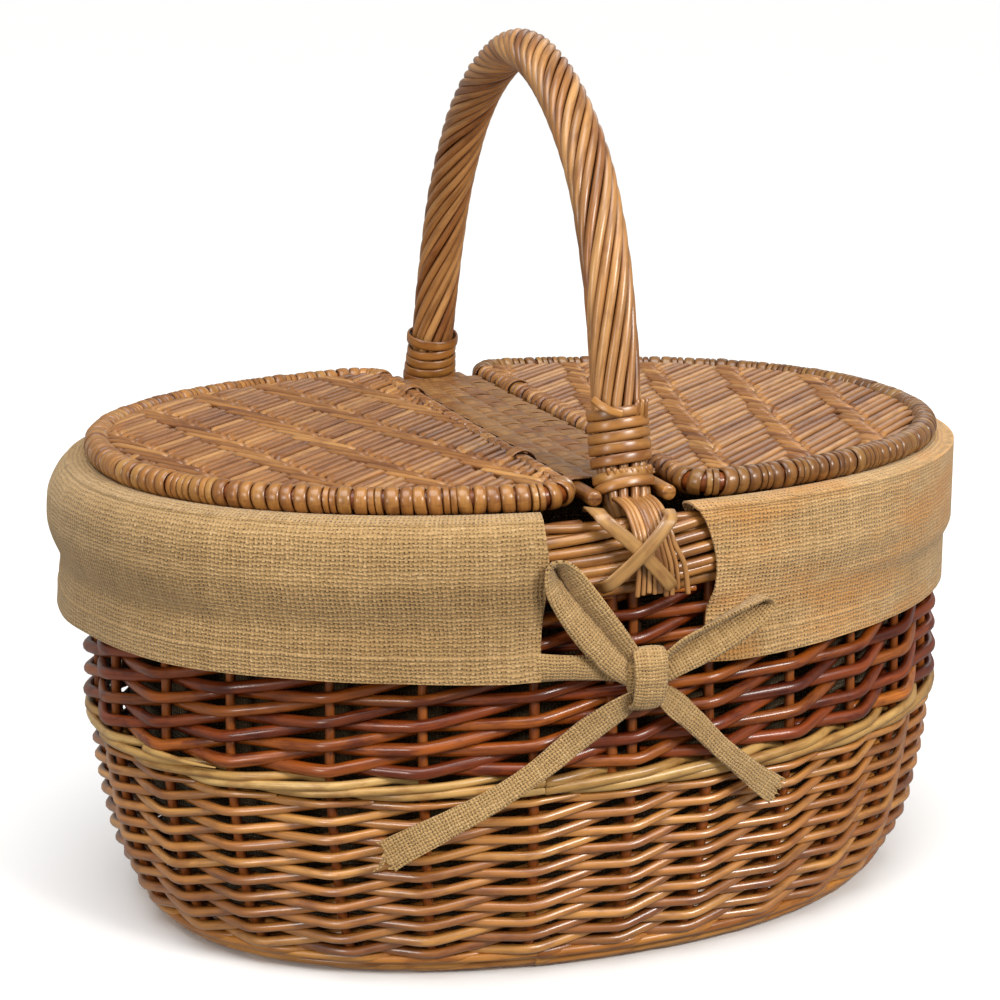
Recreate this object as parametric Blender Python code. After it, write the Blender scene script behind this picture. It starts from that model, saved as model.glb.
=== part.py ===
"""Oval wicker picnic basket with two hinged half lids, a fixed roped bow handle and a burlap liner.

Frame: metres, +Z up, +X along the long axis, -Y is the front.  Origin at the bottom centre.
Every woven band is one closed ring of the weave's true envelope; stakes, handle, wrappings,
bridge, lids, liner and bows are solids of their own.
"""
import bpy
import bmesh
import math
from mathutils import Vector

# ---------------------------------------------------------------- driving dimensions (m)
GAP = 0.0003            # clearance kept between touching pieces
N_PLAN = 2.15           # superellipse exponent of the oval plan
AXIS_DIFF = 0.0556      # semi-long axis minus semi-short axis, the same at every height
N_STAKE = 26            # upright stakes round the wall
SEG = 2 * N_STAKE       # facets round every band: one vertex on each stake, one between

Z_FOOT = 0.0120         # top of the foot wale
Z_LOW = 0.0955          # top of the pale lower siding
Z_WALE = 0.1072         # top of the cream wale
Z_DARK = 0.1880         # top of the dark upper siding
Z_BORDER = 0.2240       # top of the rolled border
# wall envelope: (height, outer semi-long axis)
WALL = ((0.000, 0.1870), (0.012, 0.2018), (0.035, 0.2121), (0.070, 0.2185),
        (0.105, 0.2223), (0.150, 0.2210), (0.195, 0.2201))
SKIN = 0.0042           # outer layer of weavers, in front of the stakes
STAKE_R = 0.0024
STAKE_INSET = 0.0072    # stake centre, in from the wall's outer face

BORDER_OUT, BORDER_IN = 0.2256, 0.2126

LINER_T = 0.0016        # cloth with its hem, as a solid
CUFF_GAP_LEFT, CUFF_GAP_RIGHT = 0.049, 0.028    # edges of the two cuffs beside the handle
Z_HEM = 0.1545

LID_A, LID_B = 0.2150, 0.1594   # outline of the closed pair of lids
N_LID = 2.22
LID_Z = 0.2333          # middle plane of the lids
RIM_R = 0.0065          # wrapped hoop of a lid
LID_EDGE_X = 0.0232     # straight edge of a lid, from the middle
PANEL_T = 0.0084
HINGE_X, HINGE_Z = 0.0232, 0.2383
LOOP_Y = 0.085          # cane hinge loops, front and rear of the middle

BAR_X, BAR_Z, BAR_R, BAR_HALF = 0.0180, 0.2301, 0.0036, 0.1500
BRIDGE_HALF_X, BRIDGE_HALF_Y = 0.0212, 0.1235
BRIDGE_Z0, BRIDGE_Z1 = 0.2341, 0.2372

HANDLE_RX, HANDLE_RN = 0.0116, 0.0094   # handle section: across and in the bow's plane
CORE_R = 0.0045         # bow stick below the wrapping, pushed down inside the border
COLLAR_RX, COLLAR_RN = 0.0143, 0.0122


# ---------------------------------------------------------------- scene and materials
for ob in list(bpy.data.objects):
    bpy.data.objects.remove(ob, do_unlink=True)


def material(name, rgb, rough, metallic=0.0):
    m = bpy.data.materials.new(name)
    m.use_nodes = True
    p = m.node_tree.nodes["Principled BSDF"]
    p.inputs["Base Color"].default_value = (*rgb, 1.0)
    p.inputs["Roughness"].default_value = rough
    p.inputs["Metallic"].default_value = metallic
    m.diffuse_color = (*rgb, 1.0)
    return m


BUFF = (0.50, 0.25, 0.10)
CREAM = (0.68, 0.49, 0.20)
DARK = (0.095, 0.022, 0.008)
CANE = (0.55, 0.30, 0.11)
TWILL = (0.48, 0.24, 0.10)
SKEIN = (0.42, 0.26, 0.13)
BURLAP = (0.45, 0.31, 0.16)


# ---------------------------------------------------------------- geometry helpers
def plan(a, t):
    """Point on the oval of semi-long axis a at parameter t."""
    b = a - AXIS_DIFF
    c, s = math.cos(t), math.sin(t)
    return (a * math.copysign(abs(c) ** (2 / N_PLAN), c),
            b * math.copysign(abs(s) ** (2 / N_PLAN), s))


def arc_table(a, count=6000):
    """Running length round the oval, from the front middle towards +X."""
    rows, prev, run = [], None, 0.0
    for i in range(count + 1):
        t = -math.pi / 2 + 2 * math.pi * i / count
        x, y = plan(a, t)
        if prev is not None:
            run += math.hypot(x - prev[0], y - prev[1])
        rows.append((run, t))
        prev = (x, y)
    return rows


ARC = arc_table(0.2223)
GIRTH = ARC[-1][0]


def at_arc(s):
    """Parameter at the distance s round the wall."""
    s %= GIRTH
    lo, hi = 0, len(ARC) - 1
    while hi - lo > 1:
        mid = (lo + hi) // 2
        if ARC[mid][0] <= s:
            lo = mid
        else:
            hi = mid
    f = (s - ARC[lo][0]) / max(ARC[hi][0] - ARC[lo][0], 1e-12)
    return ARC[lo][1] + f * (ARC[hi][1] - ARC[lo][1])


# hand-set stakes: uneven across the front, evenly spaced round the back
FRONT_STAKES = (-0.0023, 0.0380, 0.0860, 0.1290, 0.1705)
LEFT_STAKES = (-0.2375, -0.1970, -0.1465, -0.1025, -0.0505)
REST = (GIRTH + LEFT_STAKES[0] - FRONT_STAKES[-1]) / (N_STAKE - 9)
STAKE_S = ([s for s in FRONT_STAKES] + [FRONT_STAKES[-1] + REST * (k + 1) for k in range(N_STAKE - 10)]
           + [GIRTH + s for s in LEFT_STAKES])
ROUND = []
for k in range(N_STAKE):
    s0 = STAKE_S[k]
    s1 = STAKE_S[k + 1] if k + 1 < N_STAKE else STAKE_S[0] + GIRTH
    ROUND += [at_arc(s0), at_arc((s0 + s1) / 2)]


def wall_a(z):
    """Outer semi-long axis of the wall at height z (straight runs between stations)."""
    for (z0, a0), (z1, a1) in zip(WALL, WALL[1:]):
        if z <= z1:
            return a0 + (a1 - a0) * (z - z0) / (z1 - z0)
    return WALL[-1][1]


def add(name, verts, faces, mat, origin=(0, 0, 0), parent=None, smooth=40):
    bm = bmesh.new()
    o = Vector(origin)
    vs = [bm.verts.new(Vector(v) - o) for v in verts]
    for f in faces:
        bm.faces.new([vs[i] for i in f])
    bmesh.ops.recalc_face_normals(bm, faces=bm.faces)
    bmesh.ops.triangulate(bm, faces=[f for f in bm.faces if len(f.verts) > 4])
    me = bpy.data.meshes.new(name)
    bm.to_mesh(me)
    bm.free()
    me.shade_smooth()
    me.set_sharp_from_angle(angle=math.radians(smooth))
    me.materials.append(mat)
    ob = bpy.data.objects.new(name, me)
    bpy.context.collection.objects.link(ob)
    if parent is not None:
        ob.parent = parent
    else:
        ob.location = o
    return ob


def loft(rings, around=False):
    """Vertices and faces of a solid through equal rings; around joins the last to the first."""
    n = len(rings[0])
    verts = [p for r in rings for p in r]
    faces = []
    m = len(rings)
    for j in range(m if around else m - 1):
        k = (j + 1) % m
        for i in range(n):
            i2 = (i + 1) % n
            faces.append((j * n + i, k * n + i, k * n + i2, j * n + i2))
    if not around:
        faces.append(tuple(range(n)))
        faces.append(tuple(reversed(range((m - 1) * n, m * n))))
    return verts, faces


def band(name, profile, mat):
    """Closed ring of the oval: profile is a closed list of (semi-long axis, z)."""
    rings = [[(*plan(a, t), z) for a, z in profile] for t in ROUND]
    return add(name, *loft(rings, around=True), mat)


def prism(name, poly, y0, y1, mat):
    """Flat outline in X and Z, extruded along Y."""
    return add(name, *loft([[(x, y0, z) for x, z in poly], [(x, y1, z) for x, z in poly]]), mat, smooth=30)


def catmull(pts, per):
    """Smooth curve through the route's points."""
    out = []
    for i in range(len(pts) - 1):
        p0 = Vector(pts[max(i - 1, 0)])
        p1, p2 = Vector(pts[i]), Vector(pts[i + 1])
        p3 = Vector(pts[min(i + 2, len(pts) - 1)])
        for k in range(per):
            u = k / per
            out.append(0.5 * ((2 * p1) + (p2 - p0) * u + (2 * p0 - 5 * p1 + 4 * p2 - p3) * u * u
                              + (3 * p1 - p0 - 3 * p2 + p3) * u * u * u))
    out.append(Vector(pts[-1]))
    return out


# ---------------------------------------------------------------- base and wall
m_buff = material("buff_willow", BUFF, 0.45)
m_base = material("base_willow", BUFF, 0.5)
base_a = 0.1777
rings = [[(*plan(base_a, t), z) for t in ROUND] for z in (0.0, 0.0090)]
add("base_weave", *loft(rings), m_base)

foot_in = base_a + GAP
band("foot_wale", [(foot_in, 0.0), (0.1870, 0.0), (0.1965, 0.0050), (wall_a(Z_FOOT), Z_FOOT),
                   (0.1900, Z_FOOT), (foot_in, 0.0100)], material("foot_wale_willow", BUFF, 0.45))


def siding(name, heights, mat, proud=0.0, thick=SKIN):
    outer = [(wall_a(z) + proud, z) for z in heights]
    inner = [(wall_a(z) - thick, z) for z in reversed(heights)]
    return band(name, outer + inner, mat)


siding("lower_siding", (Z_FOOT + GAP, 0.035, 0.070, Z_LOW), m_buff)
siding("pale_wale", (Z_LOW + GAP, Z_WALE), material("cream_willow", CREAM, 0.4), proud=0.0012)
siding("dark_siding", (Z_WALE + GAP, 0.150, Z_DARK - GAP), material("dark_willow", DARK, 0.25))

band("top_border", [(BORDER_OUT - 0.003, Z_DARK), (BORDER_OUT, Z_DARK + 0.009), (BORDER_OUT, Z_BORDER - 0.009),
                    (BORDER_OUT - 0.004, Z_BORDER), (BORDER_IN + 0.003, Z_BORDER), (BORDER_IN, Z_BORDER - 0.006),
                    (BORDER_IN, Z_DARK)], material("border_willow", BUFF, 0.4))

m_stake = material("stake_willow", (0.30, 0.12, 0.05), 0.45)
STAKE_Z = (Z_FOOT + 2 * GAP, 0.035, 0.070, 0.105, 0.150, Z_DARK - GAP)
for k in range(N_STAKE):
    t = ROUND[2 * k]
    rings = []
    x0, y0 = plan(0.2, t)
    out = Vector((x0, y0, 0)).normalized()
    side = Vector((-out.y, out.x, 0))
    for z in STAKE_Z:
        c = Vector((*plan(wall_a(z) - STAKE_INSET, t), z))
        rings.append([c + STAKE_R * (math.cos(q) * side + math.sin(q) * out)
                      for q in (2 * math.pi * i / 6 for i in range(6))])
    foot = sum((v for v in rings[0]), Vector()) / 6
    add("side_stake_%02d" % (k + 1), *loft(rings), m_stake, origin=foot)

# ---------------------------------------------------------------- burlap liner
m_cloth = material("burlap", BURLAP, 0.9)
bag = [(0.1730, 0.0094), (0.1860, 0.0300), (0.1960, 0.0700), (0.2000, 0.1050), (0.2008, 0.2040)]
outer = [[(*plan(a, t), z) for t in ROUND] for a, z in bag]
inner = [[(*plan(a - LINER_T, t), z + (LINER_T if i == 0 else 0.0)) for t in ROUND] for i, (a, z) in enumerate(bag)]
add("liner_bag", *loft(outer + inner[::-1]), m_cloth)

# each cuff hangs from inside the border, over it and down outside as a skirt
CUFF_OUT = [(0.2097, 0.2048), (0.2097, 0.2240), (0.2120, 0.2262), (0.2235, 0.2262), (0.2305, 0.2170),
            (0.2325, 0.2010), (0.2288, 0.1790), (0.2288, Z_HEM)]
CUFF_IN = [(0.2272, Z_HEM), (0.2272, 0.1795), (0.2309, 0.2010), (0.2291, 0.2160), (0.2228, 0.2246),
           (0.2124, 0.2246), (0.2113, 0.2234), (0.2113, 0.2048)]


def cuff(name, s0, s1, steps=26):
    rings = []
    for i in range(steps + 1):
        t = at_arc(s0 + (s1 - s0) * i / steps)
        rings.append([(*plan(a, t), z) for a, z in CUFF_OUT + CUFF_IN])
    add(name, *loft(rings), m_cloth)


cuff("liner_cuff_right", CUFF_GAP_RIGHT, GIRTH / 2 - CUFF_GAP_RIGHT)
cuff("liner_cuff_left", GIRTH / 2 + CUFF_GAP_LEFT, GIRTH - CUFF_GAP_LEFT)


# ---------------------------------------------------------------- bows that tie the cuffs
def strap(name, pts, widths, thick, mat):
    """Flat strap: pts are centre points, out is the wall's outward direction there."""
    rings = []
    for i, p in enumerate(pts):
        a = Vector(pts[max(i - 1, 0)])
        b = Vector(pts[min(i + 1, len(pts) - 1)])
        tan = (b - a).normalized()
        side_sign = -1.0 if p[1] < 0 else 1.0
        out = Vector((p[0] * 0.55, p[1], 0)).normalized()
        across = out.cross(tan).normalized() * side_sign
        h, w = thick / 2, widths[i] / 2
        c = Vector(p)
        rings.append([c + across * w + out * h, c - across * w + out * h,
                      c - across * w - out * h, c + across * w - out * h])
    return add(name, *loft(rings), mat, smooth=30)


KNOT = [(-0.0470, 0.1500), (-0.0080, 0.1460), (-0.0060, 0.1390), (0.0060, 0.1390), (0.0080, 0.1470),
        (0.0085, 0.1560), (0.0060, 0.1600), (-0.0060, 0.1600),
        (-0.0080, 0.1580), (-0.0470, 0.1630)]
for end, sg in (("front", 1.0), ("rear", -1.0)):
    knot = prism("%s_bow_knot" % end, KNOT, -0.1752 * sg, -0.1815 * sg, m_cloth)
    # left strap: tail, behind the knot, up to the left loop
    strap("%s_bow_left_strap" % end,
          [(-0.1120, -0.1560 * sg, 0.0650), (-0.0820, -0.1652 * sg, 0.0890), (-0.0450, -0.1695 * sg, 0.1180),
           (-0.0080, -0.1709 * sg, 0.1440), (-0.0110, -0.1709 * sg, 0.1570), (-0.0240, -0.1772 * sg, 0.1780),
           (-0.0375, -0.1800 * sg, 0.2020)],
          [0.013, 0.013, 0.013, 0.012, 0.013, 0.016, 0.015], 0.0018, m_cloth)
    # right strap: tail, behind the knot, out to the right loop
    strap("%s_bow_right_strap" % end,
          [(0.0740, -0.1650 * sg, 0.0810), (0.0480, -0.1700 * sg, 0.1060), (0.0210, -0.1735 * sg, 0.1290),
           (0.0060, -0.1734 * sg, 0.1440), (0.0140, -0.1734 * sg, 0.1545), (0.0300, -0.1775 * sg, 0.1640),
           (0.0480, -0.1785 * sg, 0.1710), (0.0625, -0.1765 * sg, 0.1780)],
          [0.013, 0.013, 0.013, 0.012, 0.013, 0.016, 0.016, 0.014], 0.0018, m_cloth)

# ---------------------------------------------------------------- handle
m_handle = material("handle_willow", BUFF, 0.35)
m_cane = material("cane_wrap", CANE, 0.3)
BOW = [(-0.1505, 0.1300), (-0.1505, 0.2000), (-0.1490, 0.2150), (-0.1440, 0.2270), (-0.1387, 0.2390),
       (-0.1310, 0.2690), (-0.1255, 0.3000), (-0.1170, 0.3310), (-0.1005, 0.3641), (-0.0761, 0.3905),
       (-0.0420, 0.4120), (-0.0020, 0.4213), (0.0400, 0.4080), (0.0768, 0.3815), (0.1057, 0.3437),
       (0.1230, 0.3070), (0.1365, 0.2690), (0.1440, 0.2440), (0.1485, 0.2270), (0.1503, 0.2150),
       (0.1505, 0.2000), (0.1505, 0.1300)]
bow = catmull([(0.0, y, z) for y, z in BOW], 2)


def section(pts, i, rx, rn, count):
    """Oval section across a path in the plane X = 0."""
    a, b = pts[max(i - 1, 0)], pts[min(i + 1, len(pts) - 1)]
    tan = (b - a).normalized()
    nrm = Vector((1, 0, 0)).cross(tan).normalized()
    return [pts[i] + Vector((rx * math.cos(q), 0, 0)) + nrm * (rn * math.sin(q))
            for q in (2 * math.pi * k / count for k in range(count))]


def ease(v, lo, hi):
    u = min(max((v - lo) / (hi - lo), 0.0), 1.0)
    return u * u * (3 - 2 * u)


rings = []
for i, p in enumerate(bow):
    f = ease(p.z, 0.2130, 0.2290)
    rings.append(section(bow, i, CORE_R + (HANDLE_RX - CORE_R) * f, CORE_R + (HANDLE_RN - CORE_R) * f, 10))
add("handle_bow", *loft(rings), m_handle)

for end, route in (("front", [(-0.1412, 0.2335), (-0.1352, 0.2510), (-0.1310, 0.2690)]),
                   ("rear", [(0.1468, 0.2335), (0.1415, 0.2520), (0.1365, 0.2690)])):
    pts = [Vector((0, y, z)) for y, z in route]
    shell = [section(pts, i, COLLAR_RX, COLLAR_RN, 14) for i in range(3)]
    bore = [section(pts, i, HANDLE_RX + 0.0010, HANDLE_RN + 0.0012, 14) for i in range(3)]
    add("handle_collar_%s" % end, *loft(shell + bore[::-1], around=True), m_cane)

# rod tails: from under the collar, over the border and down its outer side
for end, sg in (("front", -1.0), ("rear", 1.0)):
    line = [(0.0, 0.1590, 0.2262, 0.0105), (0.0005, 0.1672, 0.2258, 0.0115), (0.0015, 0.1722, 0.2205, 0.0125),
            (0.0035, 0.1726, 0.2050, 0.0140), (0.0060, 0.1726, 0.1900, 0.0155)]
    rings = []
    normals = [(0.0, 1.0), (0.35, 0.94), (0.94, 0.34), (1.0, 0.0), (1.0, 0.0)]
    for (x, y, z, w), (ny, nz) in zip(line, normals):
        up = Vector((0, sg * ny, nz)) * 0.0012
        c = Vector((x, sg * y, z))
        rings.append([c + Vector((w, 0, 0)) + up, c - Vector((w, 0, 0)) + up,
                      c - Vector((w, 0, 0)) - up, c + Vector((w, 0, 0)) - up])
    add("handle_tails_%s" % end, *loft(rings), m_handle, smooth=30)
    # crossed cane lashing over the tails and the border
    cx, cz, hw, hh, arm = 0.0, 0.2050, 0.0200, 0.0150, 0.0050
    X = [(cx - hw, cz + hh), (cx - hw + arm, cz + hh), (cx, cz + arm), (cx + hw - arm, cz + hh), (cx + hw, cz + hh),
         (cx + arm, cz), (cx + hw, cz - hh), (cx + hw - arm, cz - hh), (cx, cz - arm), (cx - hw + arm, cz - hh),
         (cx - hw, cz - hh), (cx - arm, cz)]
    prism("handle_lashing_%s" % end, X, sg * 0.1745, sg * 0.1757, m_cane)

# ---------------------------------------------------------------- bridge between the lids
m_skein = material("skein_weave", SKEIN, 0.5)
add("bridge_weave", *loft([[(x, y, z) for x, z in ((-BRIDGE_HALF_X, BRIDGE_Z0), (BRIDGE_HALF_X, BRIDGE_Z0),
                                                 (BRIDGE_HALF_X, BRIDGE_Z1), (-BRIDGE_HALF_X, BRIDGE_Z1))]
                           for y in (-BRIDGE_HALF_Y, BRIDGE_HALF_Y)]), m_skein, smooth=30)
for side, sx in (("left", -1.0), ("right", 1.0)):
    rings = [[(sx * BAR_X + BAR_R * math.cos(q), y, BAR_Z + BAR_R * math.sin(q))
              for q in (2 * math.pi * i / 10 for i in range(10))] for y in (-BAR_HALF, BAR_HALF)]
    add("bridge_bar_%s" % side, *loft(rings), material("bar_willow_" + side, (0.36, 0.17, 0.07), 0.45))

# ---------------------------------------------------------------- lids
ca, cb = LID_A - RIM_R, LID_B - RIM_R


def lid_outline():
    """Centre line of the right lid's hoop: half oval, rounded corners, straight inner edge."""
    x_line = LID_EDGE_X + RIM_R
    x_on = x_line + 0.016
    t_on = math.acos((x_on / ca) ** (N_LID / 2))
    arc = []
    for i in range(21):
        t = -t_on + 2 * t_on * i / 20
        c, s = math.cos(t), math.sin(t)
        arc.append((ca * abs(c) ** (2 / N_LID), cb * math.copysign(abs(s) ** (2 / N_LID), s)))
    y_on = arc[-1][1]
    y_corner = y_on + 0.0005
    corner = []
    for k in (1, 2, 3):
        u = k / 4
        x = (1 - u) ** 2 * x_on + 2 * u * (1 - u) * x_line + u * u * x_line
        y = (1 - u) ** 2 * y_on + 2 * u * (1 - u) * y_corner + u * u * (y_corner - 0.016)
        corner.append((x, y))
    straight = [(x_line, (y_corner - 0.016) * f) for f in (1.0, 0.0, -1.0)]
    return arc + corner + straight + [(x, -y) for x, y in reversed(corner)]


def offset(path, d):
    out = []
    n = len(path)
    for i in range(n):
        (x0, y0), (x1, y1) = path[i - 1], path[(i + 1) % n]
        tx, ty = x1 - x0, y1 - y0
        ln = math.hypot(tx, ty)
        out.append((path[i][0] - ty / ln * d, path[i][1] + tx / ln * d))
    return out


OUTLINE = lid_outline()
PANEL = offset(OUTLINE, RIM_R + 0.0018)
m_rim = material("lid_rim_cane", CANE, 0.3)
m_twill = material("lid_twill", TWILL, 0.45)

for side, sx in (("left", -1.0), ("right", 1.0)):
    pivot = bpy.data.objects.new("%s_lid_hinge" % side, None)
    pivot.location = (sx * HINGE_X, 0, HINGE_Z)
    bpy.context.collection.objects.link(pivot)
    o = pivot.location
    n = len(OUTLINE)
    rings = []
    for i in range(n):
        (x0, y0), (x1, y1) = OUTLINE[i - 1], OUTLINE[(i + 1) % n]
        tan = Vector((x1 - x0, y1 - y0, 0)).normalized()
        nrm = Vector((tan.y, -tan.x, 0))
        c = Vector((*OUTLINE[i], LID_Z))
        ring = [c + nrm * (RIM_R * math.cos(q)) + Vector((0, 0, RIM_R * math.sin(q)))
                for q in (2 * math.pi * k / 8 for k in range(8))]
        rings.append([(sx * v.x, v.y, v.z) for v in ring])
    add("%s_lid_rim" % side, *loft(rings, around=True), m_rim, origin=o, parent=pivot)
    rings = [[(sx * x, y, z) for x, y in PANEL] for z in (LID_Z - PANEL_T / 2, LID_Z + PANEL_T / 2)]
    add("%s_lid_panel" % side, *loft(rings), m_twill, origin=o, parent=pivot, smooth=30)
    for end, y0 in (("front", -LOOP_Y), ("rear", LOOP_Y)):
        def hoop(r, y):
            return [(sx * (LID_EDGE_X + RIM_R) + r * math.cos(q), y, LID_Z + r * math.sin(q))
                    for q in (2 * math.pi * k / 10 for k in range(10))]
        r0, r1 = RIM_R + 0.0006, RIM_R + 0.0012
        # flats of the inner ring stay clear of the hoop's corners
        rings = [hoop(r1, y0 - 0.004), hoop(r1, y0 + 0.004), hoop(r0 + 0.00025, y0 + 0.004), hoop(r0 + 0.00025, y0 - 0.004)]
        add("hinge_loop_%s_%s" % (side, end), *loft(rings, around=True), m_cane, origin=o, parent=pivot)
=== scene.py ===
import math

import bpy
import numpy as np
from mathutils import Matrix, Vector


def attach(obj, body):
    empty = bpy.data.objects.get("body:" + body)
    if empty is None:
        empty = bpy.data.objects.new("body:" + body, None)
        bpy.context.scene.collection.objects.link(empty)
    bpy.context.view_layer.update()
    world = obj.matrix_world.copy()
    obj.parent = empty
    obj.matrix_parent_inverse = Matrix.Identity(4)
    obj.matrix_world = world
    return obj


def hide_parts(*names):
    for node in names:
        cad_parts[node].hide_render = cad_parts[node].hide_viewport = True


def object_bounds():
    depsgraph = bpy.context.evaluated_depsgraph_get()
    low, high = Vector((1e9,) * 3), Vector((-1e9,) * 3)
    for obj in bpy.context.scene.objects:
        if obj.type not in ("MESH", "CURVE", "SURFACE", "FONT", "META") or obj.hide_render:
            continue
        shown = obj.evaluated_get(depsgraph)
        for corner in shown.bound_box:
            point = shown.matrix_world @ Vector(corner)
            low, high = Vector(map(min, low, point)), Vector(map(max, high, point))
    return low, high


# Looks of the oval wicker picnic basket: every rod, strand and skein is a mesh of its own
# course, woven over and under its neighbours.  Metres, +Z up, -Y the front.

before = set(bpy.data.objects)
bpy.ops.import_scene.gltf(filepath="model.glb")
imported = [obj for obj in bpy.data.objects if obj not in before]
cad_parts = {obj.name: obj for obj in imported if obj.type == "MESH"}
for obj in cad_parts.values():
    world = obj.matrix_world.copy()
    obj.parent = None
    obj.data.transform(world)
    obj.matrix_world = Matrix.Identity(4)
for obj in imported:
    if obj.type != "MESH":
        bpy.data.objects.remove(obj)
cad_lo, cad_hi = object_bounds()
PI = math.pi
rng = np.random.default_rng(20)

# ------------------------------------------------------------------ the wall's plan, as in the CAD
N_PLAN, AXIS_DIFF, N_STAKE = 2.15, 0.0556, 26
Z_FOOT, Z_LOW, Z_WALE, Z_DARK, Z_BORDER = 0.0120, 0.0955, 0.1072, 0.1880, 0.2240
WALL_Z = np.array([0.000, 0.012, 0.035, 0.070, 0.105, 0.150, 0.195, 0.260])
WALL_A = np.array([0.1870, 0.2018, 0.2121, 0.2185, 0.2223, 0.2210, 0.2201, 0.2201])
BORDER_OUT, BORDER_IN = 0.2256, 0.2126
INSET = 0.0072


def plan(a, t):
    a, t = np.broadcast_arrays(np.asarray(a, float), np.asarray(t, float))
    b = a - AXIS_DIFF
    c, s = np.cos(t), np.sin(t)
    return np.stack([a * np.sign(c) * np.abs(c) ** (2 / N_PLAN), b * np.sign(s) * np.abs(s) ** (2 / N_PLAN)], -1)


def plan_out(a, t):
    """Outward unit normal of the oval."""
    p = plan(a, t)
    b = np.asarray(a, float) - AXIS_DIFF
    n = np.stack([np.sign(p[..., 0]) * (np.abs(p[..., 0]) / a) ** (N_PLAN - 1) / a,
                  np.sign(p[..., 1]) * (np.abs(p[..., 1]) / b) ** (N_PLAN - 1) / b], -1)
    return n / np.linalg.norm(n, axis=-1, keepdims=True)


T_TAB = np.linspace(-PI / 2, 1.5 * PI, 12001)
_p = plan(0.2223, T_TAB)
S_TAB = np.concatenate([[0.0], np.cumsum(np.hypot(*np.diff(_p, axis=0).T))])
GIRTH = float(S_TAB[-1])


def at_arc(s):
    return np.interp(np.mod(s, GIRTH), S_TAB, T_TAB)


def wall_a(z):
    z = np.asarray(z, float)
    return (np.interp(z - 0.006, WALL_Z, WALL_A) + np.interp(z + 0.006, WALL_Z, WALL_A) + np.interp(z, WALL_Z, WALL_A)) / 3


FRONT_STAKES = [-0.0023, 0.0380, 0.0860, 0.1290, 0.1705]
LEFT_STAKES = [-0.2375, -0.1970, -0.1465, -0.1025, -0.0505]
REST = (GIRTH + LEFT_STAKES[0] - FRONT_STAKES[-1]) / (N_STAKE - 9)
STAKE_S = np.array(FRONT_STAKES + [FRONT_STAKES[-1] + REST * (k + 1) for k in range(N_STAKE - 10)]
                   + [GIRTH + s for s in LEFT_STAKES])


def s_at(u):
    """Distance round the wall at stake number u, fractions between stakes."""
    u = np.asarray(u, float)
    turn = np.floor(u / N_STAKE)
    return np.interp(u - turn * N_STAKE, np.arange(N_STAKE + 1), np.append(STAKE_S, STAKE_S[0] + GIRTH)) + turn * GIRTH


def on_wall(s, z, inset=0.0):
    """Points inset from the wall's face, and the outward normals there."""
    t = at_arc(s)
    a = wall_a(z) - inset
    p = plan(a, t)
    z = np.broadcast_to(z, p.shape[:-1])
    n = plan_out(a, t)
    return np.concatenate([p, z[..., None]], -1), np.concatenate([n, np.zeros_like(z)[..., None]], -1)


def smooth01(x):
    x = np.clip(x, 0.0, 1.0)
    return x * x * (3 - 2 * x)


def wavy(x, seed, scale, octaves=3):
    """Smooth one-dimensional noise from -1 to 1."""
    r = np.random.default_rng(seed)
    out, amp, tot = np.zeros_like(np.asarray(x, float)), 1.0, 0.0
    for k in range(octaves):
        f, ph = scale * 1.9 ** k, r.uniform(0, 2 * PI, 3)
        out = out + amp * (np.sin(x * f * 2 * PI + ph[0]) + 0.7 * np.sin(x * f * 2 * PI * 1.37 + ph[1]) + 0.5 * np.sin(x * f * 2 * PI * 0.61 + ph[2])) / 2.2
        tot += amp
        amp *= 0.55
    return out / tot


# ------------------------------------------------------------------ mesh building
def unit(v):
    return v / np.maximum(np.linalg.norm(v, axis=-1, keepdims=True), 1e-12)


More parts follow.
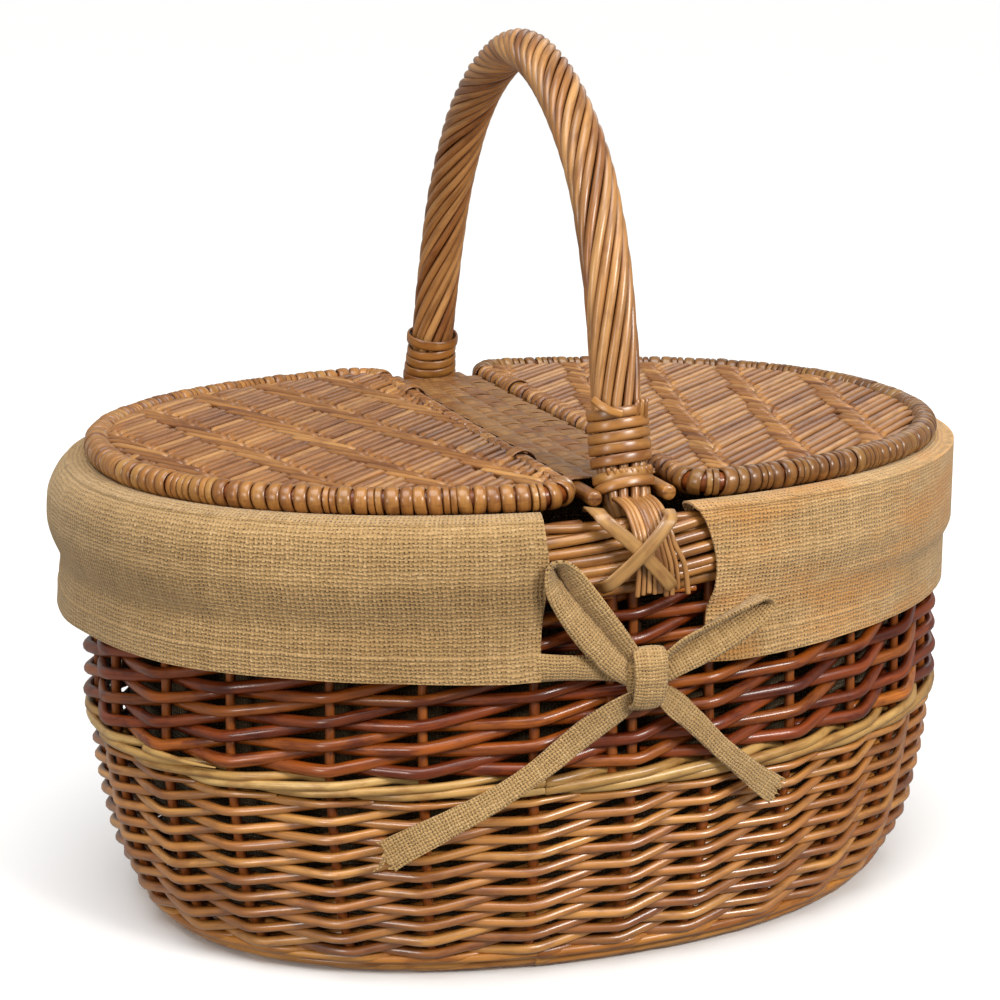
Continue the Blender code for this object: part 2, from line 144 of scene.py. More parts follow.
def tube(path, rx, ry=None, up=None, sides=8, seed=None, closed=False, ends=True, power=2.0, shift=0.0, tip=0.0):
    """One rod or strip along a path. rx is half its width across, ry half its thickness along up."""
    path = np.asarray(path, float)
    n = len(path)
    rx = np.broadcast_to(np.asarray(rx, float), (n,)).copy()
    ry = rx.copy() if ry is None else np.broadcast_to(np.asarray(ry, float), (n,)).copy()
    if closed:
        tan = unit(np.roll(path, -1, 0) - np.roll(path, 1, 0))
    else:
        tan = unit(np.gradient(path, axis=0))
    up = np.broadcast_to(np.array([0.0, 0.0, 1.0]) if up is None else np.asarray(up, float), (n, 3))
    up = unit(up - (up * tan).sum(-1, keepdims=True) * tan)
    side = np.cross(tan, up)
    seg = np.linalg.norm(np.diff(path, axis=0), axis=1)
    run = np.concatenate([[0.0], np.cumsum(seg)])
    if ends and not closed:   # rounded ends: two extra rings at each end
        e = float(max(rx[0], 1e-4)) * 0.5
        f = float(max(rx[-1], 1e-4)) * 0.5
        path = np.concatenate([[path[0] - tan[0] * e * 0.55], [path[0] - tan[0] * e * 0.4], path, [path[-1] + tan[-1] * f * 0.4], [path[-1] + tan[-1] * f * 0.55]])
        up = np.concatenate([up[:1], up[:1], up, up[-1:], up[-1:]])
        side = np.concatenate([side[:1], side[:1], side, side[-1:], side[-1:]])
        rx = np.concatenate([[rx[0] * 0.55, rx[0] * 0.86], rx, [rx[-1] * 0.86, rx[-1] * 0.55]])
        ry = np.concatenate([[ry[0] * 0.55, ry[0] * 0.86], ry, [ry[-1] * 0.86, ry[-1] * 0.55]])
        run = np.concatenate([[run[0] - e, run[0] - e / 2], run, [run[-1] + f / 2, run[-1] + f]])
        n += 4
    q = 2 * PI * (np.arange(sides) + shift) / sides
    cq, sq = np.cos(q), np.sin(q)
    cq, sq = np.sign(cq) * np.abs(cq) ** (2 / power), np.sign(sq) * np.abs(sq) ** (2 / power)
    v = path[:, None, :] + side[:, None, :] * (rx[:, None] * cq)[..., None] + up[:, None, :] * (ry[:, None] * sq)[..., None]
    seed = float(rng.random()) if seed is None else float(seed)
    rc = np.stack([np.broadcast_to(run[:, None], (n, sides)), rx[:, None] * cq, ry[:, None] * sq], -1)
    i = np.arange(n if closed else n - 1)
    k = np.arange(sides)
    i0, k0 = np.meshgrid(i, k, indexing="ij")
    i1, k1 = (i0 + 1) % n, (k0 + 1) % sides
    quads = np.stack([i0 * sides + k0, i0 * sides + k1, i1 * sides + k1, i1 * sides + k0], -1).reshape(-1, 4)
    caps = [] if closed else [np.arange(sides)[::-1], (n - 1) * sides + np.arange(sides)]
    frac = np.broadcast_to((run / max(run[-1], 1e-9))[:, None], (n, sides))
    return {"v": v.reshape(-1, 3), "q": quads, "c": caps, "rc": rc.reshape(-1, 3),
            "rv": np.full(n * sides, seed), "rt": frac.reshape(-1)}


def grid(points, coords, closed_u=False, seed=0.0):
    """A sheet from an (n, m, 3) array of points, with its own cloth coordinates."""
    n, m = points.shape[:2]
    i0, k0 = np.meshgrid(np.arange(n if closed_u else n - 1), np.arange(m - 1), indexing="ij")
    i1 = (i0 + 1) % n
    q = np.stack([i0 * m + k0, i1 * m + k0, i1 * m + k0 + 1, i0 * m + k0 + 1], -1).reshape(-1, 4)
    return {"v": points.reshape(-1, 3), "q": q, "c": [], "rc": coords.reshape(-1, 3), "rv": np.full(n * m, seed), "rt": np.zeros(n * m)}


def shell(outer, inner, coords, closed_u=False, seed=0.0):
    """Closed thin shell: outer and inner faces of a sheet joined along its edges."""
    n, m = outer.shape[:2]
    a, b = grid(outer, coords, closed_u, seed), grid(inner, coords, closed_u, seed)
    off = n * m
    quads = [a["q"], b["q"][:, ::-1] + off]
    i = np.arange(n if closed_u else n - 1)
    for k, flip in ((0, False), (m - 1, True)):
        e0, e1 = i * m + k, ((i + 1) % n) * m + k
        e = np.stack([e0, e0 + off, e1 + off, e1], -1)
        quads.append(e[:, ::-1] if flip else e)
    if not closed_u:
        k = np.arange(m - 1)
        for r, flip in ((0, True), (n - 1, False)):
            e0, e1 = r * m + k, r * m + k + 1
            e = np.stack([e0, e0 + off, e1 + off, e1], -1)
            quads.append(e[:, ::-1] if flip else e)
    return {"v": np.concatenate([a["v"], b["v"]]), "q": np.concatenate(quads), "c": [], "rc": np.concatenate([a["rc"], b["rc"]]),
            "rv": np.concatenate([a["rv"], b["rv"]]), "rt": np.concatenate([a["rt"], b["rt"]])}


def make(name, parts, mat, body, nodes=(), angle=50):
    """One object from many parts; mat is a material, or a list with one index per part."""
    mats, index = (mat if isinstance(mat, tuple) else ([mat], None))
    off, V, Q, C, RC, RV, RT, MI, MC = 0, [], [], [], [], [], [], [], []
    for j, p in enumerate(parts):
        V.append(p["v"]); Q.append(p["q"] + off); RC.append(p["rc"]); RV.append(p["rv"]); RT.append(p["rt"])
        C += [c + off for c in p["c"]]
        mi = 0 if index is None else index[j]
        MI.append(np.full(len(p["q"]), mi)); MC += [mi] * len(p["c"])
        off += len(p["v"])
    V, Q = np.concatenate(V), np.concatenate(Q)
    loops = np.concatenate([Q.ravel()] + C).astype(np.int32)
    totals = np.concatenate([np.full(len(Q), 4), [len(c) for c in C]]).astype(np.int32)
    starts = np.concatenate([[0], np.cumsum(totals)[:-1]]).astype(np.int32)
    me = bpy.data.meshes.new(name)
    me.vertices.add(len(V)); me.vertices.foreach_set("co", V.astype(np.float32).ravel())
    me.loops.add(len(loops)); me.loops.foreach_set("vertex_index", loops)
    me.polygons.add(len(totals)); me.polygons.foreach_set("loop_start", starts); me.polygons.foreach_set("loop_total", totals)
    for m in mats:
        me.materials.append(m)
    me.polygons.foreach_set("material_index", np.concatenate([np.concatenate(MI), MC]).astype(np.int32))
    me.update(calc_edges=True)
    me.shade_smooth()
    me.set_sharp_from_angle(angle=math.radians(angle))
    me.attributes.new("rc", "FLOAT_VECTOR", "POINT").data.foreach_set("vector", np.concatenate(RC).astype(np.float32).ravel())
    me.attributes.new("rv", "FLOAT", "POINT").data.foreach_set("value", np.concatenate(RV).astype(np.float32))
    me.attributes.new("rt", "FLOAT", "POINT").data.foreach_set("value", np.concatenate(RT).astype(np.float32))
    me.validate()
    ob = bpy.data.objects.new(name, me)
    bpy.context.scene.collection.objects.link(ob)
    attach(ob, body)
    if nodes:
        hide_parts(*nodes)
    return ob


# ------------------------------------------------------------------ materials
def srgb(*c):
    return tuple(((x / 255) / 12.92 if x / 255 <= 0.04045 else (((x / 255) + 0.055) / 1.055) ** 2.4) for x in c) + (1.0,)


class Tree:
    def __init__(self, name):
        self.m = bpy.data.materials.new(name)
        self.m.use_nodes = True
        self.t = self.m.node_tree
        self.bsdf = self.t.nodes["Principled BSDF"]

    def node(self, kind, **props):
        n = self.t.nodes.new(kind)
        for k, v in props.items():
            setattr(n, k, v)
        return n

    def put(self, sock, val):
        if isinstance(val, bpy.types.NodeSocket):
            self.t.links.new(val, sock)
        elif val is not None:
            sock.default_value = val

    def attr(self, name, out="Fac"):
        n = self.node("ShaderNodeAttribute", attribute_name=name)
        return n.outputs[out]

    def math(self, op, a, b=None, c=None, clamp=False):
        n = self.node("ShaderNodeMath", operation=op, use_clamp=clamp)
        for i, x in enumerate((a, b, c)):
            if x is not None:
                self.put(n.inputs[i], x)
        return n.outputs[0]

    def vmath(self, op, a, b=None):
        n = self.node("ShaderNodeVectorMath", operation=op)
        self.put(n.inputs[0], a)
        if b is not None:
            self.put(n.inputs[1], b)
        return n.outputs["Vector"]

    def noise(self, vec, scale, detail=3.0, rough=0.55, w=None, out="Fac"):
        n = self.node("ShaderNodeTexNoise", noise_dimensions="4D" if w is not None else "3D")
        self.put(n.inputs["Vector"], vec)
        n.inputs["Scale"].default_value = scale
        n.inputs["Detail"].default_value = detail
        n.inputs["Roughness"].default_value = rough
        if w is not None:
            self.put(n.inputs["W"], w)
        return n.outputs[out]

    def ramp(self, fac, stops, mode="LINEAR"):
        n = self.node("ShaderNodeValToRGB")
        n.color_ramp.interpolation = mode
        while len(n.color_ramp.elements) < len(stops):
            n.color_ramp.elements.new(0.5)
        for e, (p, c) in zip(n.color_ramp.elements, stops):
            e.position = p
            e.color = c if hasattr(c, "__len__") else (c, c, c, 1.0)
        self.put(n.inputs[0], fac)
        return n.outputs["Color"]

    def mix(self, a, b, fac, mode="MIX"):
        n = self.node("ShaderNodeMix", data_type="RGBA", blend_type=mode)
        self.put(n.inputs[0], fac)
        self.put(n.inputs[6], a)
        self.put(n.inputs[7], b)
        return n.outputs[2]

    def rng(self, x, a, b, c, d):
        n = self.node("ShaderNodeMapRange")
        self.put(n.inputs[0], x)
        for i, v in enumerate((a, b, c, d)):
            n.inputs[i + 1].default_value = v
        return n.outputs[0]

    def bump(self, height, strength, distance, normal=None):
        n = self.node("ShaderNodeBump")
        n.inputs["Strength"].default_value = strength
        n.inputs["Distance"].default_value = distance
        self.put(n.inputs["Height"], height)
        if normal is not None:
            self.put(n.inputs["Normal"], normal)
        return n.outputs["Normal"]


def willow(name, stops, rough=0.34, coat=0.35, coat_rough=0.16, streak=0.35, knots=0.5, spec=0.5, mottle=0.3, bump=0.35, rod_painted_shade=0.45, patch=0.30, both=False):
    """Peeled and stained willow: a colour for each rod, fine streaks along it, nodes, and a varnish coat."""
    k = Tree(name)
    rc, rv = k.attr("rc", "Vector"), k.attr("rv")
    w = k.math("MULTIPLY", rv, 71.0)
    base = k.ramp(rv, stops)
    fine = k.noise(k.vmath("MULTIPLY", rc, (26.0, 900.0, 900.0)), 1.0, 4.0, 0.6, w)
    long = k.noise(k.vmath("MULTIPLY", rc, (13.0, 170.0, 170.0)), 1.0, 3.0, 0.55, w)
    spots = k.noise(k.vmath("MULTIPLY", rc, (60.0, 190.0, 190.0)), 1.0, 3.0, 0.6, k.math("ADD", w, 9.0))
    col = k.mix(base, k.ramp(fine, [(0.25, 1.0 - streak), (0.5, 1.0), (0.78, 1.0 + 0.55 * streak)]), 1.0, "MULTIPLY")
    col = k.mix(col, k.ramp(long, [(0.30, (1.0 - mottle, 1.0 - 1.25 * mottle, 1.0 - 1.45 * mottle, 1)), (0.52, 1.0), (0.75, 1.0 + 0.35 * mottle)]), 1.0, "MULTIPLY")
    col = k.mix(col, k.ramp(spots, [(0.36, (1.0 - patch, 1.0 - 1.3 * patch, 1.0 - 1.5 * patch, 1)), (0.50, 1.0), (0.66, 1.0 + 0.30 * patch)]), 1.0, "MULTIPLY")
    # painted shade: a rod is darkened towards its back (rc.z below zero), and with both set towards its two sides,
    # where shade falls between neighbouring rods
    part = k.node("ShaderNodeSeparateXYZ")
    k.put(part.inputs[0], rc)
    cy, cz = part.outputs[1], part.outputs[2]
    ln = k.math("SQRT", k.math("ADD", k.math("MULTIPLY", cy, cy), k.math("MULTIPLY", cz, cz)))
    cz = k.math("ABSOLUTE", cz) if both else cz
    face = k.rng(k.math("DIVIDE", cz, k.math("MAXIMUM", ln, 0.00001)), -0.10 if both else -0.30, 0.62, 0.0, 1.0)
    face = k.math("ADD", face, k.math("MULTIPLY", k.math("SUBTRACT", long, 0.5), 0.35), clamp=True)
    col = k.mix(col, k.ramp(face, [(0.0, (1.0 - rod_painted_shade, 1.0 - 1.18 * rod_painted_shade, 1.0 - 1.30 * rod_painted_shade, 1)), (1.0, 1.0)]), 1.0, "MULTIPLY")
    # leaf nodes: small dark scars here and there along a rod
    vor = k.node("ShaderNodeTexVoronoi", voronoi_dimensions="4D", feature="F1")
    k.put(vor.inputs["Vector"], k.vmath("MULTIPLY", rc, (34.0, 210.0, 210.0)))
    k.put(vor.inputs["W"], w)
    vor.inputs["Scale"].default_value = 1.0
    spot = k.ramp(vor.outputs["Distance"], [(0.10, 1.0), (0.20, 0.0)])
    pick = k.ramp(k.noise(k.vmath("MULTIPLY", rc, (17.0, 0.0, 0.0)), 1.0, 1.0, 0.5, k.math("MULTIPLY", rv, 133.0)), [(0.56, 0.0), (0.60, 1.0)])
    scar = k.math("MULTIPLY", k.math("MULTIPLY", spot, pick), knots)
    col = k.mix(col, srgb(64, 30, 12), scar)
    k.put(k.bsdf.inputs["Base Color"], col)
    k.put(k.bsdf.inputs["Roughness"], k.rng(fine, 0.3, 0.75, rough - 0.05, rough + 0.10))
    h = k.math("ADD", k.math("MULTIPLY", fine, 0.6), k.math("MULTIPLY", long, 0.8))
    h = k.math("SUBTRACT", h, k.math("MULTIPLY", scar, 0.7))
    k.put(k.bsdf.inputs["Normal"], k.bump(h, bump, 0.00022))
    k.bsdf.inputs["Specular IOR Level"].default_value = spec * 0.7
    k.bsdf.inputs["Coat Weight"].default_value = coat * 0.85
    k.bsdf.inputs["Coat Roughness"].default_value = coat_rough
    return k.m


def burlap(name, tint=(1.0, 1.0, 1.0), pitch=0.0020, stains=0.0, painted_shade_level=1.0, back=1.0):
    """Open plain-weave jute: two sets of uneven threads, dark openings and a stitched hem."""
    k = Tree(name)
    rc = k.attr("rc", "Vector")
    wob = k.noise(rc, 85.0, 2.0, 0.5, out="Color")
    fine = k.noise(rc, 420.0, 2.0, 0.6, out="Color")
    p = k.vmath("ADD", rc, k.vmath("MULTIPLY", k.vmath("SUBTRACT", wob, (0.5, 0.5, 0.5)), (0.0026, 0.0026, 0.0)))
    p = k.vmath("ADD", p, k.vmath("MULTIPLY", k.vmath("SUBTRACT", fine, (0.5, 0.5, 0.5)), (0.0008, 0.0008, 0.0)))
    sep = k.node("ShaderNodeSeparateXYZ")
    k.put(sep.inputs[0], p)
    u, v = (k.math("DIVIDE", sep.outputs[i], pitch) for i in (0, 1))
    iu, iv = k.math("FLOOR", u), k.math("FLOOR", v)
    fu = k.math("SUBTRACT", k.math("SUBTRACT", u, iu), 0.5)
    fv = k.math("SUBTRACT", k.math("SUBTRACT", v, iv), 0.5)

    def thread(i, seed):
        n = k.node("ShaderNodeTexWhiteNoise", noise_dimensions="1D")
        k.put(n.inputs["W"], k.math("ADD", i, seed))
        return n.outputs["Value"]

    tu, tv = thread(iu, 3.3), thread(iv, 57.7)
    su = k.noise(k.vmath("MULTIPLY", p, (500.0, 90.0, 0.0)), 1.0, 2.0)
    sv = k.noise(k.vmath("MULTIPLY", p, (90.0, 500.0, 0.0)), 1.0, 2.0)

    def profile(f, t, s):   # round section of one thread; its width varies from thread to thread and along it
        wid = k.math("ADD", k.math("MULTIPLY", t, 0.10), k.math("MULTIPLY", s, 0.40))
        wid = k.math("ADD", wid, 0.19)
        x = k.math("DIVIDE", f, wid)
        return k.math("SUBTRACT", 1.0, k.math("MULTIPLY", x, x))

    def over(i, x, sign):   # goes over and under in turn
        c = k.math("MULTIPLY", k.math("COSINE", k.math("MULTIPLY", i, PI)), k.math("COSINE", k.math("MULTIPLY", k.math("SUBTRACT", x, 0.5), PI)))
        return k.math("ADD", 0.62, k.math("MULTIPLY", c, 0.38 * sign))

    hu = k.math("MULTIPLY", k.math("MAXIMUM", profile(fu, tu, su), 0.0), over(iu, v, 1.0))
    hv = k.math("MULTIPLY", k.math("MAXIMUM", profile(fv, tv, sv), 0.0), over(iv, u, -1.0))
    h = k.math("MAXIMUM", hu, hv)
    which = k.math("GREATER_THAN", hu, hv)
    lu = k.noise(k.vmath("MULTIPLY", p, (520.0, 120.0, 0.0)), 1.0, 2.0)
    lv = k.noise(k.vmath("MULTIPLY", p, (120.0, 520.0, 0.0)), 1.0, 2.0)
    cu = k.math("ADD", k.math("MULTIPLY", tu, 0.14), k.math("MULTIPLY", lu, 0.86))
    cv = k.math("ADD", k.math("MULTIPLY", tv, 0.14), k.math("MULTIPLY", lv, 0.86))
    thr = k.mix(cv, cu, which)
    base = k.ramp(thr, [(0.18, srgb(162 * tint[0], 128 * tint[1], 84 * tint[2])), (0.42, srgb(184 * tint[0], 149 * tint[1], 99 * tint[2])),
                        (0.60, srgb(197 * tint[0], 162 * tint[1], 112 * tint[2])), (0.85, srgb(217 * tint[0], 185 * tint[1], 136 * tint[2]))])
    slub = k.noise(k.vmath("MULTIPLY", p, (1500.0, 1500.0, 0.0)), 1.0, 2.0)
    col = k.mix(base, k.ramp(slub, [(0.25, 0.76), (0.55, 1.03), (0.85, 1.22)]), 1.0, "MULTIPLY")
    broad = k.noise(rc, 16.0, 3.0, 0.6)
    col = k.mix(col, k.ramp(broad, [(0.30, (0.86, 0.84, 0.80, 1)), (0.55, 1.0), (0.75, (1.06, 1.06, 1.05, 1))]), 1.0, "MULTIPLY")
    if stains:
        st = k.noise(k.vmath("MULTIPLY", rc, (11.0, 26.0, 0.0)), 1.0, 4.0, 0.65)
        col = k.mix(col, srgb(196, 134, 66), k.math("MULTIPLY", k.ramp(st, [(0.44, 0.0), (0.62, 1.0)]), stains))
    # painted shade: the whole sheet is darkened by this factor, as the bag sits in shade behind the willow
    if painted_shade_level != 1.0:
        col = k.mix(col, (painted_shade_level, painted_shade_level * 0.96, painted_shade_level * 0.90, 1.0), 1.0, "MULTIPLY")
    # painted shade: the side that faces the willow (rv 0) is darkened further, standing in for the shade seen through
    # the wall's gaps
    if back != 1.0:     # rv is 0 on the side that faces the willow, 1 on the side seen inside
        col = k.mix(col, k.ramp(k.attr("rv"), [(0.0, back), (1.0, 1.0)]), 1.0, "MULTIPLY")
    # painted shade: the openings between threads are filled with dark brown, darker still on the bag's side facing the
    # willow
    col = k.mix(srgb(72, 48, 27) if back == 1.0 else srgb(40, 25, 13), col, k.ramp(h, [(0.0, 0.0), (0.18, 0.62), (0.48, 1.0)]))
    # hem: rz is the distance from the hem's edge; a fold line and a row of stitches above it
    sepr = k.node("ShaderNodeSeparateXYZ")
    k.put(sepr.inputs[0], rc)
    d = k.math("ABSOLUTE", k.math("SUBTRACT", sepr.outputs[2], 0.0112))
    line = k.ramp(k.math("MULTIPLY", d, 1000.0), [(0.0, 1.0), (0.55, 1.0), (0.95, 0.0)])
    dash = k.ramp(k.math("FRACT", k.math("MULTIPLY", sepr.outputs[0], 250.0)), [(0.62, 1.0), (0.72, 0.0)])
    stitch = k.math("MULTIPLY", line, dash)
    col = k.mix(col, srgb(188, 156, 110), k.math("MULTIPLY", stitch, 0.25))
    k.put(k.bsdf.inputs["Base Color"], col)
    k.put(k.bsdf.inputs["Roughness"], k.rng(slub, 0.2, 0.8, 0.80, 0.96))
    k.bsdf.inputs["Specular IOR Level"].default_value = 0.18
    k.bsdf.inputs["Sheen Weight"].default_value = 0.35
    k.bsdf.inputs["Sheen Roughness"].default_value = 0.45
    k.bsdf.inputs["Sheen Tint"].default_value = (0.95, 0.86, 0.70, 1.0)
    hh = k.math("ADD", h, k.math("MULTIPLY", slub, 0.25))
    hh = k.math("SUBTRACT", hh, k.math("MULTIPLY", line, 0.55))
    k.put(k.bsdf.inputs["Normal"], k.bump(hh, 0.9, 0.00075))
    return k.m


BUFF = [(0.0, srgb(156, 93, 36)), (0.22, srgb(181, 115, 47)), (0.5, srgb(194, 129, 56)), (0.78, srgb(206, 145, 70)), (1.0, srgb(170, 103, 41))]
m_low = willow("buff_willow_rods", BUFF, rough=0.34, coat=0.9, coat_rough=0.24, spec=1.3, mottle=0.40, rod_painted_shade=0.60, patch=0.34, bump=0.8)
m_foot = willow("foot_willow_rods", BUFF, rough=0.36, coat=0.6, coat_rough=0.27)
m_base = willow("base_willow_rods", [(0.0, srgb(150, 98, 46)), (1.0, srgb(182, 130, 70))], rough=0.5, coat=0.1, streak=0.4)
m_cream = willow("cream_willow_rods", [(0.0, srgb(178, 135, 72)), (0.4, srgb(204, 164, 98)), (0.75, srgb(222, 186, 121)), (1.0, srgb(186, 142, 78))], rough=0.36, coat=0.5, coat_rough=0.26, streak=0.26, knots=0.4, mottle=0.22, rod_painted_shade=0.55)
m_dark = willow("dark_willow_rods", [(0.0, srgb(104, 43, 11)), (0.3, srgb(134, 59, 15)), (0.55, srgb(110, 44, 11)), (0.75, srgb(154, 78, 20)), (0.88, srgb(180, 104, 34)), (1.0, srgb(110, 46, 12))], rough=0.36, coat=0.62, coat_rough=0.16, streak=0.45, knots=0.6, mottle=0.60, bump=1.8, rod_painted_shade=0.50, patch=0.50)
m_stake = willow("stake_willow_rods", [(0.0, srgb(138, 72, 24)), (0.5, srgb(158, 86, 32)), (1.0, srgb(142, 76, 28))], rough=0.36, coat=0.35, streak=0.35)
m_handle = willow("handle_willow_rods", [(0.0, srgb(154, 100, 50)), (0.35, srgb(176, 125, 70)), (0.7, srgb(198, 148, 90)), (1.0, srgb(162, 108, 56))], rough=0.36, coat=0.9, coat_rough=0.28, mottle=0.38, rod_painted_shade=0.80, patch=0.28, bump=0.6)
# painted shade: the handle's core is coloured near-black brown so the gaps between the wound strands read as shade
m_core = willow("handle_core_painted_shade", [(0.0, srgb(58, 32, 14)), (1.0, srgb(72, 40, 18))], rough=0.5, coat=0.0)
m_border = willow("border_willow_rods", [(0.0, srgb(152, 100, 46)), (0.5, srgb(176, 122, 59)), (1.0, srgb(168, 112, 54))], rough=0.36, coat=0.95, coat_rough=0.28, mottle=0.40, rod_painted_shade=0.70, bump=0.6, both=True)
m_cane = willow("cane_wrapping", [(0.0, srgb(152, 100, 44)), (0.3, srgb(172, 118, 56)), (0.6, srgb(156, 102, 46)), (0.85, srgb(178, 130, 66)), (1.0, srgb(146, 92, 40))], rough=0.34, coat=0.8, coat_rough=0.28, streak=0.30, knots=0.15, mottle=0.32, rod_painted_shade=0.60, bump=0.6)
# painted shade: a darker copy of the cane wrapping for the right lid's rim, which catches the strongest light
m_cane_shaded_r = willow("cane_wrapping_right_painted_shade", [(0.0, srgb(122, 80, 35)), (0.3, srgb(136, 92, 42)), (0.6, srgb(124, 82, 36)), (0.85, srgb(152, 112, 56)), (1.0, srgb(116, 74, 32))], rough=0.34, coat=0.8, coat_rough=0.26, streak=0.30, knots=0.15, mottle=0.34, rod_painted_shade=0.60, bump=0.6)
m_lash = willow("cane_lashing", [(0.0, srgb(166, 122, 66)), (1.0, srgb(184, 141, 84))], rough=0.36, coat=0.8, coat_rough=0.28, streak=0.28, knots=0.0, mottle=0.30, rod_painted_shade=0.35, bump=0.6)
m_lid = willow("lid_willow_rods", [(0.0, srgb(132, 82, 37)), (0.25, srgb(148, 97, 47)), (0.55, srgb(167, 115, 60)), (0.8, srgb(182, 132, 74)), (1.0, srgb(140, 88, 42))], rough=0.38, coat=0.8, coat_rough=0.30, streak=0.38, rod_painted_shade=0.75, patch=0.25, bump=0.6, both=True)
m_skein = willow("willow_skein", [(0.0, srgb(140, 98, 52)), (0.5, srgb(160, 117, 68)), (1.0, srgb(142, 94, 52))], rough=0.40, coat=0.4, coat_rough=0.32, streak=0.22, knots=0.1, mottle=0.30, rod_painted_shade=0.25, patch=0.22, both=True)
# painted light and shade: the two cuffs are copies of one burlap, the left one tinted darker and the right one lighter
# for how the light falls on them; the right one also has real stains
m_cloth = burlap("burlap_cloth", tint=(0.955, 0.945, 0.935))
m_cloth_r = burlap("burlap_cloth_stained_painted_light", stains=0.75, tint=(1.04, 1.03, 1.03))
# the lining is a darker copy of the burlap: painted shade over all of it, stronger on the side facing the willow
m_bag = burlap("burlap_lining_painted_shade", painted_shade_level=0.62, back=0.28)
m_tie = burlap("burlap_tie", tint=(0.975, 0.965, 0.945), pitch=0.00155)

# ------------------------------------------------------------------ woven wall
per = 16


def weave_c(u):
    return (np.cos(PI * u) + 0.105 * np.cos(3 * PI * u) + 0.02 * np.cos(5 * PI * u)) / 1.125


def kink(u):
    """Triangle wave, a little rounded: +1 before a stake and -1 behind the next."""
    return (np.cos(PI * u) + np.cos(3 * PI * u) / 9 + 0.7 * np.cos(5 * PI * u) / 25) / (1 + 1 / 9 + 0.7 / 25)


def randing(z0, z1, pitch, dip, amp, r, seed, sides, jitter):
    """French randing: one rod from each stake, in front of one and behind the next, all rising together."""
    out = []
    g = np.random.default_rng(seed)
    rise = pitch / 2
    lo, hi = z0 + r * 0.95, z1 - r * 0.95
    length = (hi - lo) / rise
    for j in range(N_STAKE):
        u = np.arange(-0.85, length + 0.35, 1.0 / per)
        dv = dip * pitch * (1.30 - 0.55 * np.clip(u / length, 0, 1))
        z = lo + dip * pitch + rise * u - dv * kink(u)
        z = z + jitter * wavy(u + 3.1 * j, seed * 100 + j, 0.23)
        z = lo + np.where(z < lo, (z - lo) * 0.12, z - lo)
        z = hi - np.where(z > hi, (hi - z) * 0.12, hi - z)
        rho = amp * weave_c(u) + 0.0003 * wavy(u, seed * 100 + j + 50, 0.4)
        f = (u - u[0]) / (u[-1] - u[0])
        rad = r * g.uniform(0.93, 1.06) * (1.06 - 0.15 * f)
        rad = rad * (1 + 0.05 * wavy(u, seed * 7 + j, 0.9))
        rad = rad * np.minimum(1.0, 0.55 + (u[-1] - u) * 0.6)
        p, n = on_wall(s_at(j + u), z, INSET - rho)
        out.append(tube(p, rad, up=n, sides=sides, seed=g.random()))
    return out


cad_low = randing(Z_FOOT - 0.0004, Z_LOW + 0.0006, 0.0088, 0.17, 0.00450, 0.00240, 11, 10, 0.00045)
make("lower_siding_rods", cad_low, m_low, "basket", ["lower_siding"])
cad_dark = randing(Z_WALE, Z_DARK + 0.0015, 0.0114, 0.08, 0.00480, 0.00292, 12, 11, 0.00105)
make("dark_siding_rods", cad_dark, m_dark, "basket", ["dark_siding"])


def wale(zc, span, slope_u, r, amp, inset, rounds, seed, sides=9):
    """Three-rod wale: each strand lies before two stakes, climbing, then drops behind one."""
    out = []
    g = np.random.default_rng(seed)
    total = N_STAKE * 3
    piece = 13
    for m in range(total // piece):
        u = np.arange(m * piece - 0.9, (m + 1) * piece + 0.45, 1.0 / per)
        v = np.mod(u, 3.0)
        # climbs from v = .35 to 2.65, falls behind the stake
        w = np.where(v < 0.35, v + 3.0, v)
        up_part = np.clip((w - 0.35) / 2.30, 0, 1)
        down = np.clip((w - 2.65) / 0.70, 0, 1)
        zz = zc + span * (up_part - 0.5) - span * smooth01(down)
        dv = np.minimum(v, 3.0 - v)
        rho = amp * (2 * smooth01(dv / 0.92) - 1)
        f = (u - u[0]) / (u[-1] - u[0])
        rad = r * (1.10 - 0.24 * f) * g.uniform(0.96, 1.04)
        rad = rad * np.minimum(1.0, 0.30 + (u[-1] - u) * 0.5)
        zz = zz + 0.0003 * wavy(u, seed + m, 0.3)
        p, n = on_wall(s_at(u), zz, inset - rho - 0.0006 * up_part)
        out.append(tube(p, rad, up=n, sides=sides, seed=g.random()))
    return out


cream = wale((Z_LOW + Z_WALE) / 2 - 0.0002, 0.0080, 0, 0.00238, 0.0044, INSET - 0.0004, 1, 31)
# two pointed rod ends that show on the face, where new rods were laid in
for s0, s1, z0 in ((-0.247, -0.200, 0.1062), (0.300, 0.345, 0.1058), (0.62, 0.665, 0.1060)):
    s = np.linspace(s0, s1, 24)
    f = np.linspace(0, 1, 24)
    p, n = on_wall(s, z0 + 0.0004 * f, -0.0002 + 0.0022 * (1 - f) ** 3)
    cream.append(tube(p, 0.0019 * (1 - 0.82 * f ** 2), up=n, sides=8))
make("pale_wale_rods", cream, m_cream, "basket", ["pale_wale"])

foot = wale(0.0041, 0.0034, 0, 0.0023, 0.0040, 0.0066, 1, 41) + wale(0.0093, 0.0034, 0, 0.0023, 0.0042, 0.0068, 1, 43)
make("foot_wale_rods", foot, m_foot, "basket", ["foot_wale"])

